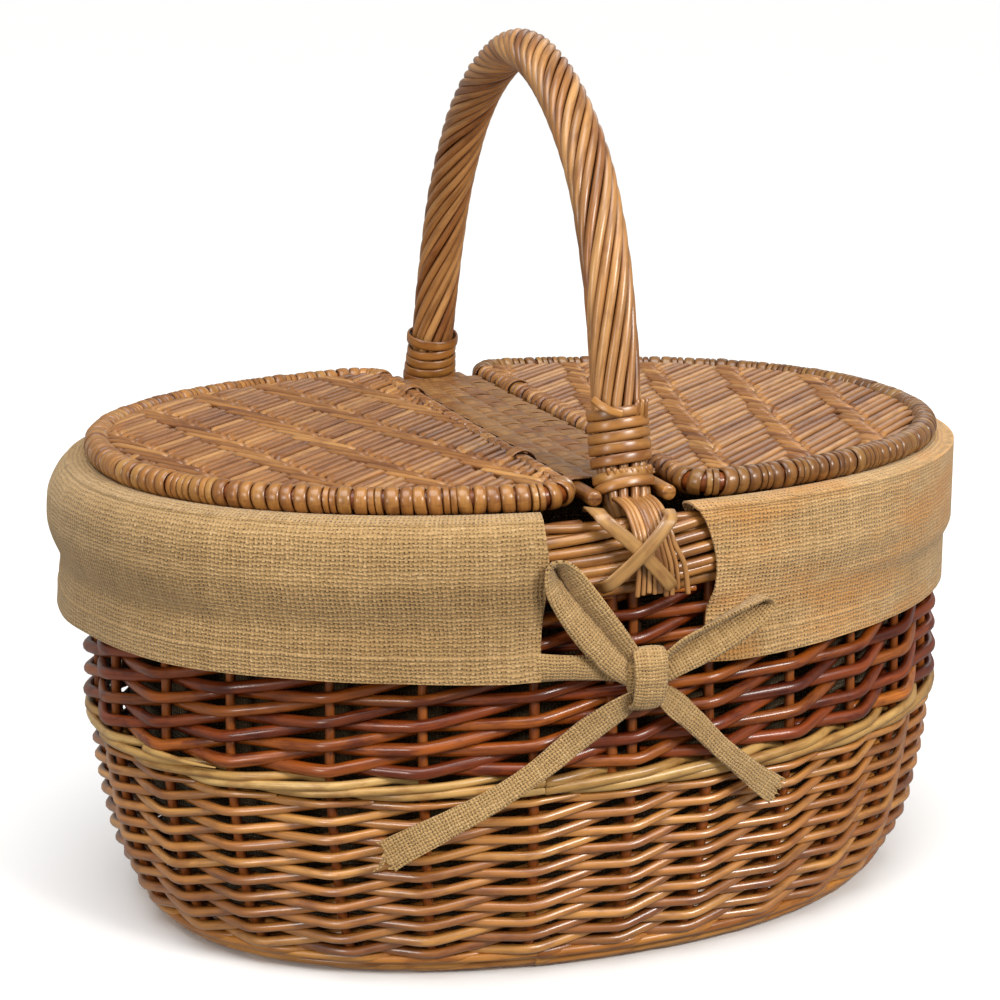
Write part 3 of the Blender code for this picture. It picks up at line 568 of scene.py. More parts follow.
stakes = []
for k in range(N_STAKE):
    g = np.random.default_rng(500 + k)
    z = np.concatenate([np.linspace(0.0045, 0.20, 60)])
    s = STAKE_S[k] + 0.0006 * wavy(z * 10, 700 + k, 0.5)
    p, n = on_wall(np.full_like(z, 0) + s, z, INSET + 0.0002 * wavy(z * 10, 900 + k, 0.6))
    stakes.append(tube(p, 0.00245 * (1.06 - 0.6 * z) * g.uniform(0.95, 1.05), up=n, sides=10, seed=g.random()))
for s0 in (-0.0125, GIRTH / 2 + 0.0105):   # the bow handle's sticks go down beside a stake
    z = np.linspace(0.100, 0.214, 30)
    p, n = on_wall(np.full_like(z, s0), z, INSET + 0.0004)
    stakes.append(tube(p, 0.0027, up=n, sides=10))
make("side_stakes", stakes, m_stake, "basket", ["side_stake_%02d" % (k + 1) for k in range(N_STAKE)])

# rolled border: a rod from each stake climbs the outside for six spaces; others fill the top and inside
border, g = [], np.random.default_rng(61)
for j in range(N_STAKE):
    u = np.arange(-0.45, 5.55, 1.0 / 10)
    z = 0.1926 + 0.0056 * u + 0.0011 * np.sin(u * 2.1 + 1.3 * j) * 0.8 + 0.0007 * wavy(u, 630 + j, 0.3)
    z = np.minimum(z, 0.2208)
    inn = 0.0062 * (1 - smooth01((u + 0.5) / 0.8)) + 0.0075 * smooth01((u - 4.6) / 0.9) + 0.0007 * (1 + np.sin(j * 2.4 + u * 1.1))
    t = at_arc(s_at(j + u))
    a = BORDER_OUT - 0.0027 - inn + 0.0002 * wavy(u, 610 + j, 0.4)
    p, n = plan(a, t), plan_out(a, t)
    P = np.concatenate([p, z[:, None]], -1)
    rad = 0.00272 * g.uniform(0.90, 1.05) * (1.10 - 0.18 * (u - u[0]) / 6)
    border.append(tube(P, rad, up=np.concatenate([n, 0 * z[:, None]], -1), sides=9, seed=g.random()))
for q, (a, z) in enumerate(((BORDER_OUT - 0.0065, 0.2212), (BORDER_OUT - 0.0105, 0.2200), (BORDER_IN + 0.0020, 0.2150), (BORDER_IN + 0.0020, 0.2105),
                            (BORDER_IN + 0.0020, 0.2060), (BORDER_IN + 0.0020, 0.2015), (BORDER_IN + 0.0020, 0.1970), (BORDER_IN + 0.0022, 0.1925),
                            (BORDER_OUT - 0.0066, 0.2165), (BORDER_OUT - 0.0068, 0.1985))):
    u = np.arange(0, 3 * 26) / 3.0
    t = at_arc(s_at(u))
    zz = z + 0.0007 * np.sin(2 * PI * u / 2.0 + q)
    P = np.concatenate([plan(a, t), zz[:, None]], -1)
    border.append(tube(P, 0.0023, up=np.concatenate([plan_out(a, t), 0 * zz[:, None]], -1), sides=8, closed=True, seed=g.random()))
make("top_border_rods", border, m_border, "basket", ["top_border"])

# woven base: sticks that fan from the middle and rods that go over and under them
base, g = [], np.random.default_rng(71)
NB = 40
tb = np.arange(NB) * 2 * PI / NB
for k in range(NB):
    a = np.linspace(0.0570, 0.1762, 30)
    p = plan(a, np.full_like(a, tb[k]))
    base.append(tube(np.concatenate([p, np.full((30, 1), 0.0046)], -1), 0.0016, sides=6, seed=g.random()))
for q, y in enumerate((-0.0042, 0.0, 0.0042)):
    x = np.linspace(-0.052, 0.052, 16)
    base.append(tube(np.stack([x, 0 * x + y, 0 * x + 0.0046], -1), 0.0019, sides=8, seed=g.random()))
rows = np.arange(0.0592, 0.1762, 0.0034)
for q, a in enumerate(rows):
    u = np.arange(NB * 6) / 6.0
    t = u * 2 * PI / NB
    z = 0.0046 + 0.0026 * np.cos(PI * u + PI * q) * np.minimum(1.0, 0.5 + 0.5 * q / 6)
    if NB % 2:
        pass
    P = np.concatenate([plan(a, t), z[:, None]], -1)
    base.append(tube(P, 0.00178, sides=7, closed=True, seed=g.random()))
make("base_woven", base, m_base, "basket", ["base_weave"])

# ------------------------------------------------------------------ handle
BOW = np.array([(-0.1505, 0.1300), (-0.1505, 0.2000), (-0.1490, 0.2150), (-0.1440, 0.2270), (-0.1387, 0.2390),
                (-0.1310, 0.2690), (-0.1255, 0.3000), (-0.1170, 0.3310), (-0.1005, 0.3641), (-0.0761, 0.3905),
                (-0.0420, 0.4120), (-0.0020, 0.4213), (0.0400, 0.4080), (0.0768, 0.3815), (0.1057, 0.3437),
                (0.1230, 0.3070), (0.1365, 0.2690), (0.1440, 0.2440), (0.1485, 0.2270), (0.1503, 0.2150),
                (0.1505, 0.2000), (0.1505, 0.1300)])


def spline(pts, per_seg):
    """Catmull-Rom curve through points of any dimension."""
    pts = np.asarray(pts, float)
    q = np.concatenate([pts[:1], pts, pts[-1:]])
    out = []
    u = (np.arange(per_seg) / per_seg)[:, None]
    for i in range(len(pts) - 1):
        p0, p1, p2, p3 = q[i], q[i + 1], q[i + 2], q[i + 3]
        out.append(0.5 * (2 * p1 + (p2 - p0) * u + (2 * p0 - 5 * p1 + 4 * p2 - p3) * u ** 2 + (3 * p1 - p0 - 3 * p2 + p3) * u ** 3))
    out.append(pts[-1:])
    return np.concatenate(out)


def resample(p, n):
    d = np.concatenate([[0], np.cumsum(np.linalg.norm(np.diff(p, axis=0), axis=1))])
    x = np.linspace(0, d[-1], n)
    return np.stack([np.interp(x, d, p[:, i]) for i in range(p.shape[1])], -1), x


bow, run = resample(spline(BOW, 12), 900)
tan2 = unit(np.gradient(bow, axis=0))
nrm2 = np.stack([-tan2[:, 1], tan2[:, 0]], -1)      # X axis cross tangent, in (y, z)
zb, yb = bow[:, 1], bow[:, 0]
near = yb < 0
i_apex = int(np.argmax(zb))
full = smooth01((zb - 0.2130) / (0.2290 - 0.2130))
d_near = run - np.interp(0.269, zb[:i_apex], run[:i_apex])
d_far = np.interp(-0.269, -zb[i_apex:], run[i_apex:]) - run
L = run[i_apex] - np.interp(0.269, zb[:i_apex], run[:i_apex])
alpha = np.where(near, np.interp(d_near, [-0.04, 0, 0.35 * L, 0.7 * L, L], np.radians([6, 9, 16, 26, 33])),
                 np.interp(d_far, [-0.04, 0, 0.3 * L, 0.7 * L, L], np.radians([8, 17, 21, 26, 33])))
alpha = np.convolve(np.pad(alpha, 30, mode="edge"), np.ones(61) / 61, mode="valid")
HX, HN, NS = 0.0118, 0.0097, 12
rc_mean = (HX + HN) / 2 - 0.0020
rad_h = np.clip(PI * rc_mean / NS * np.cos(alpha) * 1.05, 0.00155, 0.00232)
theta = -np.concatenate([[0], np.cumsum(np.tan(alpha)[:-1] * np.diff(run))]) / rc_mean
hand = []
keep = np.where(zb > 0.2200)[0]
keep = keep[::2]
for k in range(NS):
    g = np.random.default_rng(800 + k)
    th = theta[keep] + 2 * PI * k / NS + 0.07 * wavy(run[keep] * 12, 820 + k, 0.35)
    r = rad_h[keep] * g.uniform(0.90, 1.06)
    ex = (HX - r) * full[keep] + (0.0045 - r * 0.3) * (1 - full[keep]) + 0.00025 * wavy(run[keep] * 10, 840 + k, 0.4)
    en = (HN - r) * full[keep] + (0.0045 - r * 0.3) * (1 - full[keep]) + 0.00025 * wavy(run[keep] * 10, 860 + k, 0.4)
    off_x, off_n = ex * np.cos(th), en * np.sin(th)
    P = np.stack([off_x, yb[keep] + nrm2[keep, 0] * off_n, zb[keep] + nrm2[keep, 1] * off_n], -1)
    out = np.stack([np.cos(th), nrm2[keep, 0] * np.sin(th), nrm2[keep, 1] * np.sin(th)], -1)
    hand.append(tube(P, r * 1.02, r, up=out, sides=10, seed=g.random()))
core_keep = np.where(zb > 0.1300)[0][::6]
cr = 0.0046 + (0.0060 - 0.0046) * full[core_keep]
core = tube(np.stack([0 * cr, yb[core_keep], zb[core_keep]], -1), cr * 1.1, cr * 0.9, up=(1, 0, 0), sides=10)
core = tube(np.stack([0 * cr, yb[core_keep], zb[core_keep]], -1), cr * 0.9, cr * 1.12, up=(1, 0, 0), sides=12)
make("handle_rods", hand + [core], ([m_handle, m_core], [0] * NS + [1]), "basket", ["handle_bow"])


def leg_frame(z, side):
    """Point, tangent and in-plane normal of the bow at height z on one leg."""
    m = yb < 0 if side < 0 else yb > 0
    order = np.argsort(zb[m])
    zz = zb[m][order]
    f = lambda c: np.interp(z, zz, c[m][order])
    ty, tz = f(tan2[:, 0]), f(tan2[:, 1])
    s = -1.0 if side > 0 else 1.0
    ln = np.hypot(ty, tz)
    ty, tz = s * ty / ln, s * tz / ln
    return f(yb), (ty, tz), (-tz, ty)


def collar(side, turns, slope, width):
    """Flat cane turns round the leg: (height of the middle, how far it stands out, lean)."""
    out = []
    for q, (zc, extra, lean) in enumerate(turns):
        th = np.linspace(0, 2 * PI, 36, endpoint=False)
        z = zc + lean * np.cos(th) + 0.0005 * wavy(th / 6.28, 90 + q, 1.0)
        P, up = [], []
        for a, zz in zip(th, z):
            y0, (ty, tz), (ny, nz) = leg_frame(zz, side)
            ex, en = COL_X + extra, COL_N + extra
            P.append((ex * math.cos(a), y0 + ny * en * math.sin(a), zz + nz * en * math.sin(a)))
            up.append((math.cos(a) / ex, ny * math.sin(a) / en, nz * math.sin(a) / en))
        out.append(tube(np.array(P), width[q] / 2, 0.00085, up=unit(np.array(up)), sides=12, closed=True, power=3.0, seed=0.25 + 0.6 * ((q * 0.37) % 1)))
    return out


COL_X, COL_N = 0.0133, 0.0111
front_turns = [(0.2650, 0.0002, 0.0012), (0.2598, 0.0005, 0.0010), (0.2546, 0.0005, 0.0012), (0.2494, 0.0006, 0.0009), (0.2443, 0.0004, 0.0010),
               (0.2372, 0.0002, 0.0014), (0.2322, 0.0004, 0.0014)]
col = collar(-1, front_turns, 0, [0.0050] * 7)
# slanting strand that ties the wrapping off, and the cut rod tips that stand above and in the gap
yy, (ty, tz), (ny, nz) = leg_frame(0.262, -1)
col.append(tube(np.array([(-0.0138, yy - 0.0050, 0.2728), (-0.0118, yy - 0.0088, 0.2706), (-0.0080, yy - 0.0122, 0.2684), (-0.0035, yy - 0.0136, 0.2672)]),
                0.0019, 0.0008, up=(-0.5, -1, 0.2), sides=10, power=3.0, seed=0.30))
for q, x in enumerate((0.0052, 0.0078, 0.0100)):
    y0, (ty, tz), (ny, nz) = leg_frame(0.266, -1)
    col.append(tube(np.array([(x, y0 - 0.0105 + 0.0006 * q, 0.2640), (x + 0.0006, y0 - 0.0098 + 0.0006 * q, 0.2700), (x + 0.0010, y0 - 0.0094 + 0.0006 * q, 0.2718)]),
                    0.0013, up=(0, -1, 0), sides=7))
for q in range(9):
    x = -0.0100 + 0.0025 * q
    y0, (ty, tz), (ny, nz) = leg_frame(0.2405, -1)
    yo = y0 - COL_N * math.sqrt(max(0.05, 1 - (x / (COL_X + 0.001)) ** 2)) - 0.0002
    col.append(tube(np.array([(x, yo, 0.2425), (x + 0.0003, yo - 0.0003, 0.2402 + 0.0006 * (q % 3)), (x + 0.0004, yo - 0.0003, 0.2392 + 0.0008 * (q % 3))]), 0.0011, up=(0, -1, 0), sides=7))
make("handle_collar_cane_front", col, m_cane, "basket", ["handle_collar_front"])
rear_turns = [(0.2560, 0.0004, -0.0004), (0.2498, -0.0004, 0.0010), (0.2446, 0.0000, 0.0006), (0.2396, 0.0004, 0.0010), (0.2348, 0.0008, 0.0006)]
make("handle_collar_cane_rear", collar(1, rear_turns, 0, [0.0056] + [0.0050] * 4), m_cane, "basket", ["handle_collar_rear"])


def tails(sg):
    """Rod ends that fan from under the collar over the border; the front ones lean to the right."""
    out = []
    g = np.random.default_rng(95 if sg < 0 else 96)
    n = 9
    for q in range(n):
        f = q / (n - 1) - 0.5
        low_x = 0.0040 + 0.0225 * f + (0.0022 if q == n - 1 else 0.0)
        pts = [(0.0168 * f + 0.0002, 0.1460, 0.2290), (0.0168 * f + 0.0003, 0.1560, 0.2288), (0.0168 * f + 0.0005, 0.1645, 0.2264), (0.0172 * f + 0.0010, 0.1708, 0.2205),
               (0.0180 * f + 0.0020, 0.1738, 0.2128), (0.6 * low_x + 0.4 * 0.0180 * f + 0.0020, 0.1736, 0.2025), (low_x + 0.0012, 0.1724, 0.1915 - 0.0035 * g.random())]
        P = spline([(x, sg * y, z) for x, y, z in pts], 8)
        r = 0.00112 * g.uniform(0.88, 1.15)
        w = r * (1.7 if q == 4 else 1.0) * np.linspace(0.95, 1.12, len(P))
        up = np.stack([0 * P[:, 0], sg * np.linspace(0.25, 1.0, len(P)), np.linspace(1.0, 0.0, len(P))], -1)
        out.append(tube(P, w, r * (0.7 if q == 4 else 1.0), up=up, sides=8, seed=g.random()))
    return out


make("handle_tails_rods_front", tails(-1.0), m_handle, "basket", ["handle_tails_front"])
make("handle_tails_rods_rear", tails(1.0), m_handle, "basket", ["handle_tails_rear"])


def lashing(sg):
    """Two flat cane strands crossed over the tails and tucked round the border."""
    a = [(-0.0225, 0.1560, 0.2262), (-0.0243, 0.1620, 0.2288), (-0.0241, 0.1700, 0.2288), (-0.0222, 0.1750, 0.2256), (-0.0148, 0.1768, 0.2190), (-0.0062, 0.1776, 0.2110), (0.0010, 0.1773, 0.2030), (0.0085, 0.1760, 0.1945), (0.0105, 0.1710, 0.1905)]
    b = [(0.0098, 0.1690, 0.2268), (0.0088, 0.1742, 0.2252), (0.0058, 0.1768, 0.2222), (0.0006, 0.1784, 0.2170), (-0.0060, 0.1790, 0.2106), (-0.0135, 0.1778, 0.2034), (-0.0205, 0.1755, 0.1970), (-0.0232, 0.1700, 0.1940)]
    out = []
    for q, pts in enumerate((a, b)):
        P = spline([(x, sg * y, z) for x, y, z in pts], 8)
        up = np.stack([0 * P[:, 0], np.full(len(P), sg), 0.12 + 0 * P[:, 0]], -1)
        up[:16] = unit(np.stack([np.zeros(16), np.linspace(0.1, 1, 16) * sg, np.linspace(1.0, 0.2, 16)], -1))
        out.append(tube(P, 0.0033, 0.0006, up=up, sides=12, power=3.5, seed=0.3 + 0.5 * q))
    return out


make("handle_lashing_cane_front", lashing(-1.0), m_lash, "basket", ["handle_lashing_front"])
make("handle_lashing_cane_rear", lashing(1.0), m_lash, "basket", ["handle_lashing_rear"])

# ------------------------------------------------------------------ bridge between the lids
for side, sx in (("left", -1.0), ("right", 1.0)):
    y = np.linspace(-0.1505, 0.1505, 60)
    P = np.stack([sx * 0.0180 + 0.0003 * wavy(y * 8, 5 + int(sx), 0.5), y, 0.2301 + 0.0002 * wavy(y * 8, 9 + int(sx), 0.5)], -1)
    bar = tube(P, 0.0037, up=(0, 0, 1), sides=14)
    make("bridge_bar_rod_" + side, [bar], m_border, "basket", ["bridge_bar_" + side])

skeins, g = [], np.random.default_rng(101)
nx, wy = 4, 0.0112
xs = (np.arange(nx) - (nx - 1) / 2) * 0.0104
for i, x in enumerate(xs):
    y = np.linspace(-0.1285, 0.1285, 160)
    u = y / wy
    z = 0.23485 + 0.00060 * np.cos(PI * (u + i)) * 1.0
    P = np.stack([x + 0.0003 * wavy(y * 10, 110 + i, 0.5), y, z], -1)
    skeins.append(tube(P, 0.0052 * g.uniform(0.96, 1.0), 0.00050, sides=10, power=4.0, seed=g.random()))
for j in range(-11, 12):
    y0 = j * wy + 0.0004 * g.normal()
    x = np.linspace(-0.0210, 0.0210, 36)
    z = 0.23485 - 0.00060 * np.cos(PI * (j)) * np.cos(PI * (x / 0.0104 + 0.5 + (nx / 2 - 1)) ) * 1.0
    lean = 0.10 * x * (1 if j % 2 else 0.6)
    P = np.stack([x, y0 + lean, z], -1)
    wx = 0.0053 * g.uniform(0.90, 1.02)
    skeins.append(tube(P, wx, 0.00050, sides=10, power=4.0, seed=g.random()))
make("bridge_skeins", skeins, m_skein, "basket", ["bridge_weave"])

# ------------------------------------------------------------------ lids
LID_A, LID_B, N_LID, LID_Z, RIM_R, EDGE_X = 0.2150, 0.1594, 2.22, 0.2333, 0.0065, 0.0232
ca, cb = LID_A - RIM_R + 0.0022, LID_B - RIM_R + 0.0006
x_line = EDGE_X + RIM_R


def lid_outline(n_arc=220):
    """Centre line of the right lid's hoop, counterclockwise from the front corner."""
    x_on = x_line + 0.016
    t_on = math.acos((x_on / ca) ** (N_LID / 2))
    t = np.linspace(-t_on, t_on, n_arc)
    c, s = np.cos(t), np.sin(t)
    arc = np.stack([ca * np.abs(c) ** (2 / N_LID), cb * np.sign(s) * np.abs(s) ** (2 / N_LID)], -1)
    y_on = arc[-1, 1]
    yc = y_on + 0.0005
    u = np.linspace(0, 1, 18)[1:, None]
    corner = (1 - u) ** 2 * np.array([x_on, y_on]) + 2 * u * (1 - u) * np.array([x_line, yc]) + u * u * np.array([x_line, yc - 0.016])
    lowc = corner[::-1] * np.array([1, -1])
    return np.concatenate([lowc, arc, corner]), yc - 0.016


hoop_pts, y_straight = lid_outline()
hoop_pts, hoop_run = resample(hoop_pts, 600)


def inside_dist(p):
    """Rough distance in from the hoop's centre line, for points of the right lid (x > 0)."""
    x, y = np.abs(p[..., 0]), np.abs(p[..., 1])
    f = ((x / ca) ** N_LID + (y / cb) ** N_LID) ** (1 / N_LID)
    gx, gy = (x / ca) ** (N_LID - 1) / ca, (y / cb) ** (N_LID - 1) / cb
    g = np.hypot(gx, gy) / np.maximum(f, 1e-6) ** (N_LID - 1)
    curved = (1 - f) / np.maximum(g, 1e-6)
    corner_cut = ((p[..., 0] - x_line) + (yc_corner - y)) * 0.7071 - 0.0035
    return np.minimum(curved, corner_cut)


yc_corner = cb * (1 - (x_line / ca) ** N_LID) ** (1 / N_LID)


def lattice(side, ang_a, ang_b, s_a, s_b, ridge, period, phase, share, seed):
    """Twill of two sets of rods. Set A shows on top in broad bands that run along ridge, set B in the narrow ones between."""
    g = np.random.default_rng(seed)
    sx = -1.0 if side == "left" else 1.0
    da, db = np.radians(ang_a), np.radians(ang_b)
    A, B = np.array([math.cos(da), math.sin(da)]), np.array([math.cos(db), math.sin(db)])
    nA, nB = np.array([-A[1], A[0]]), np.array([-B[1], B[0]])
    rd = np.radians(ridge)
    nR = np.array([math.sin(-rd), math.cos(-rd)])
    nR = nR if nR[0] > 0 else -nR
    origin = np.array([sx * 0.11, 0.0])
    step = 0.0011
    h, r = 0.00225, 0.00235
    parts, wraps = [], []
    ks = np.arange(-46, 47)
    jit_a = g.normal(0, 0.00022, len(ks)); jit_b = g.normal(0, 0.00022, len(ks))

    def state(p):
        """1 where set A lies on top."""
        phi = p @ nR
        w = np.mod((phi - phase) / period + 0.5, 1.0) - 0.5      # 0 in the middle of a B band
        return np.where(np.abs(w) * 2 > 1 - share, 1.0, -1.0)

    cr = B @ nA, A @ nB
    for which in (0, 1):
        D, nD, nO, sD, sO, jit = (A, nA, nB, s_a, s_b, jit_a) if which == 0 else (B, nB, nA, s_b, s_a, jit_b)
        for qi, k in enumerate(ks):
            c0 = origin + nD * (k * sD + jit[qi])
            tpar = np.arange(-0.33, 0.33, step)
            bend = 0.0012 * wavy(tpar * 4 + k, seed * 10 + k + 300 * which, 0.5, 2)
            P = c0 + tpar[:, None] * D + bend[:, None] * nD
            Q = P * np.array([sx, 1.0])
            ok = (inside_dist(Q) > 0.0005) & (Q[:, 0] > x_line + 0.0002)
            idx = np.where(ok)[0]
            if len(idx) < 14:
                continue
            cut = np.split(idx, np.where(np.diff(idx) > 1)[0] + 1)
            for seg_i in cut:
                if len(seg_i) < 14:
                    continue
                tp, p2 = tpar[seg_i], P[seg_i]
                # crossings with the other set: nodes where the state is read, blended between
                m = (p2 - origin) @ nO / sO
                m0, fr = np.floor(m), m - np.floor(m)
                rate = float(D @ nO) / sO

                def node_state(mm):
                    tn = (mm * sO - (c0 - origin) @ nO) / float(D @ nO)
                    return state(c0 + tn[:, None] * D)

                s0, s1 = node_state(m0), node_state(m0 + 1)
                e = smooth01(np.clip((fr - 0.12) / 0.76, 0, 1))
                st = s0 * (1 - e) + s1 * e
                st = st if which == 0 else -st
                d = inside_dist(p2 * np.array([sx, 1.0]))
                edge = smooth01(np.clip(d / 0.010, 0, 1))
                low = -0.0012 * (1 - edge)
                z = LID_Z + h * st * (0.30 + 0.70 * edge) + low + 0.00045
                P3 = np.concatenate([p2, z[:, None]], -1)
                pr = P3[:: 2] if len(P3) > 30 else P3
                rad = r * g.uniform(0.94, 1.06)
                radii = rad * (1 + 0.04 * wavy(tp[:: 2] * 30 if len(P3) > 30 else tp * 30, seed + k, 0.6))
                sd = g.random()
                # an end on the straight edge goes on round the edge bar, flattened
                flat = np.ones(len(pr))
                ups = np.broadcast_to(np.array([0.02, 0.01, 1.0]), (len(pr), 3)).copy()
                for end in (0, -1):
                    pe = p2[end] * np.array([sx, 1.0])
                    if pe[0] < x_line + 0.0030 and abs(pe[1]) < y_straight + 0.008:
                        q = np.linspace(0.0, 1.30 * PI, 12)[1:]
                        Rw = 0.0046
                        xb = x_line + 0.0010
                        dirx, diry = (D if end == -1 else -D)
                        dy = diry / max(abs(dirx), 0.25) * 0.30
                        wx = xb - Rw * np.sin(q)
                        wz = LID_Z - 0.0002 + Rw * np.cos(q)
                        wyv = pe[1] + dy * (1 - np.cos(np.minimum(q, PI / 2))) * 0.006
                        wr = np.stack([sx * wx, wyv, wz], -1)
                        wu = np.stack([-sx * np.sin(q), 0 * q, np.cos(q)], -1)
                        lead = np.array([[sx * (xb + 0.0015), pe[1], LID_Z - 0.0002 + Rw]])
                        wr, wu = np.concatenate([lead, wr]), np.concatenate([[[0, 0, 1.0]], wu])
                        wf = np.linspace(0.8, 0.55, len(wr))
                        if end == 0:
                            pr, radii = np.concatenate([wr[::-1], pr[1:]]), np.concatenate([np.full(len(wr), rad * 0.95), radii[1:]])
                            ups, flat = np.concatenate([wu[::-1], ups[1:]]), np.concatenate([wf[::-1], flat[1:]])
                        else:
                            pr, radii = np.concatenate([pr[:-1], wr]), np.concatenate([radii[:-1], np.full(len(wr), rad * 0.95)])
                            ups, flat = np.concatenate([ups[:-1], wu]), np.concatenate([flat[:-1], wf])
                parts.append(tube(pr, radii, radii * flat * 0.94, sides=8, seed=sd, up=ups))
    return parts


def rim(side, seed):
    """The hoop's rod and the flat cane wound round it, turn beside turn."""
    g = np.random.default_rng(seed)
    sx = -1.0 if side == "left" else 1.0
    P = np.concatenate([hoop_pts * np.array([sx, 1.0]), np.full((len(hoop_pts), 1), LID_Z)], -1)
    core = tube(P[::4], 0.0047, sides=10, seed=0.1)
    yb_ = np.linspace(-y_straight, y_straight, 80)
    bar = tube(np.stack([0 * yb_ + sx * (x_line + 0.0010), yb_, 0 * yb_ + LID_Z - 0.0002], -1), 0.0034, sides=10, seed=0.5)
    turns = []
    total = hoop_run[-1]
    pos, widths = 0.0025, []
    while pos < total - 0.0025:
        w = g.uniform(0.0058, 0.0070)
        if 0 < total - pos < 0.0060:
            break
        s0 = pos + w / 2
        c = np.array([np.interp(s0, hoop_run, P[:, i]) for i in range(3)])
        c2 = np.array([np.interp(min(s0 + 0.003, total), hoop_run, P[:, i]) for i in range(3)])
        c1 = np.array([np.interp(max(s0 - 0.003, 0), hoop_run, P[:, i]) for i in range(3)])
        tg = unit((c2 - c1)[None])[0]
        nr = np.array([tg[1], -tg[0], 0.0])
        if nr @ np.array([c[0] - sx * 0.09, c[1], 0]) < 0:
            nr = -nr
        q = np.linspace(0, 2 * PI, 22, endpoint=False)
        lean = g.normal(0, 0.0004) + 0.0007
        R = RIM_R - 0.0010 + g.normal(0, 0.00012)
        ring = c + np.outer(R * np.cos(q), nr) + np.outer(R * np.sin(q), [0, 0, 1]) + np.outer(lean * np.sin(q + 0.6), tg)
        upv = np.outer(np.cos(q), nr) + np.outer(np.sin(q), [0, 0, 1])
        split = g.random() < 0.33
        if split:       # two narrow strands share the place of one
            for d in (-0.25, 0.25):
                turns.append(tube(ring + tg * (w * d), w * 0.235, 0.00085, up=upv, sides=8, closed=True, power=2.6, seed=g.random()))
        else:
            turns.append(tube(ring, w * 0.465, 0.00105, up=upv, sides=10, closed=True, power=2.8, seed=g.random()))
        pos += w + (0.0006 if g.random() < 0.12 else 0.0)
    return core, bar, turns


LIDS = {
    "left": dict(ang_a=45, ang_b=-60, s_a=0.0052, s_b=0.0056, ridge=-78, period=0.0405, phase=-0.1120, share=0.70, seed=201),
    "right": dict(ang_a=43, ang_b=-64, s_a=0.0053, s_b=0.0058, ridge=-106, period=0.0427, phase=0.0830, share=0.74, seed=202),
}
for side, sx in (("left", -1.0), ("right", 1.0)):
    body = side + "_lid"
    make(side + "_lid_twill", lattice(side, **LIDS[side]), m_lid, body, [side + "_lid_panel"])
    core, bar, turns = rim(side, 210 + int(sx))
    make(side + "_lid_rim_cane", turns + [core, bar], ([m_cane if side == "left" else m_cane_shaded_r, m_stake], [0] * len(turns) + [1, 1]), body, [side + "_lid_rim"])
    for end, y0 in (("front", -0.085), ("rear", 0.085)):
        q = np.linspace(0, 2 * PI, 28, endpoint=False)
        loops = []
        for d in (-0.0021, 0.0021):
            P = np.stack([sx * (x_line) + 0.0070 * np.cos(q), 0 * q + y0 + d + 0.0004 * np.sin(q), LID_Z + 0.0070 * np.sin(q)], -1)
            loops.append(tube(P, 0.0020, 0.00055, up=np.stack([np.cos(q), 0 * q, np.sin(q)], -1), sides=8, closed=True, power=3.0, seed=0.3 + d * 50))
        make("hinge_loop_cane_%s_%s" % (side, end), loops, m_cane, body, ["hinge_loop_%s_%s" % (side, end)])

# ------------------------------------------------------------------ burlap liner, cuffs and ties
CUFF = np.array([(0.2097, 0.2048), (0.2097, 0.2160), (0.2100, 0.2240), (0.2124, 0.2268), (0.2158, 0.2280), (0.2205, 0.2283), (0.2254, 0.2266),
                 (0.2296, 0.2224), (0.2318, 0.2150), (0.2326, 0.2060), (0.2325, 0.1985), (0.2310, 0.1900), (0.2294, 0.1800), (0.2290, 0.1680), (0.2292, 0.1545)])
cuff_prof, cuff_run = resample(spline(CUFF, 8), 92)


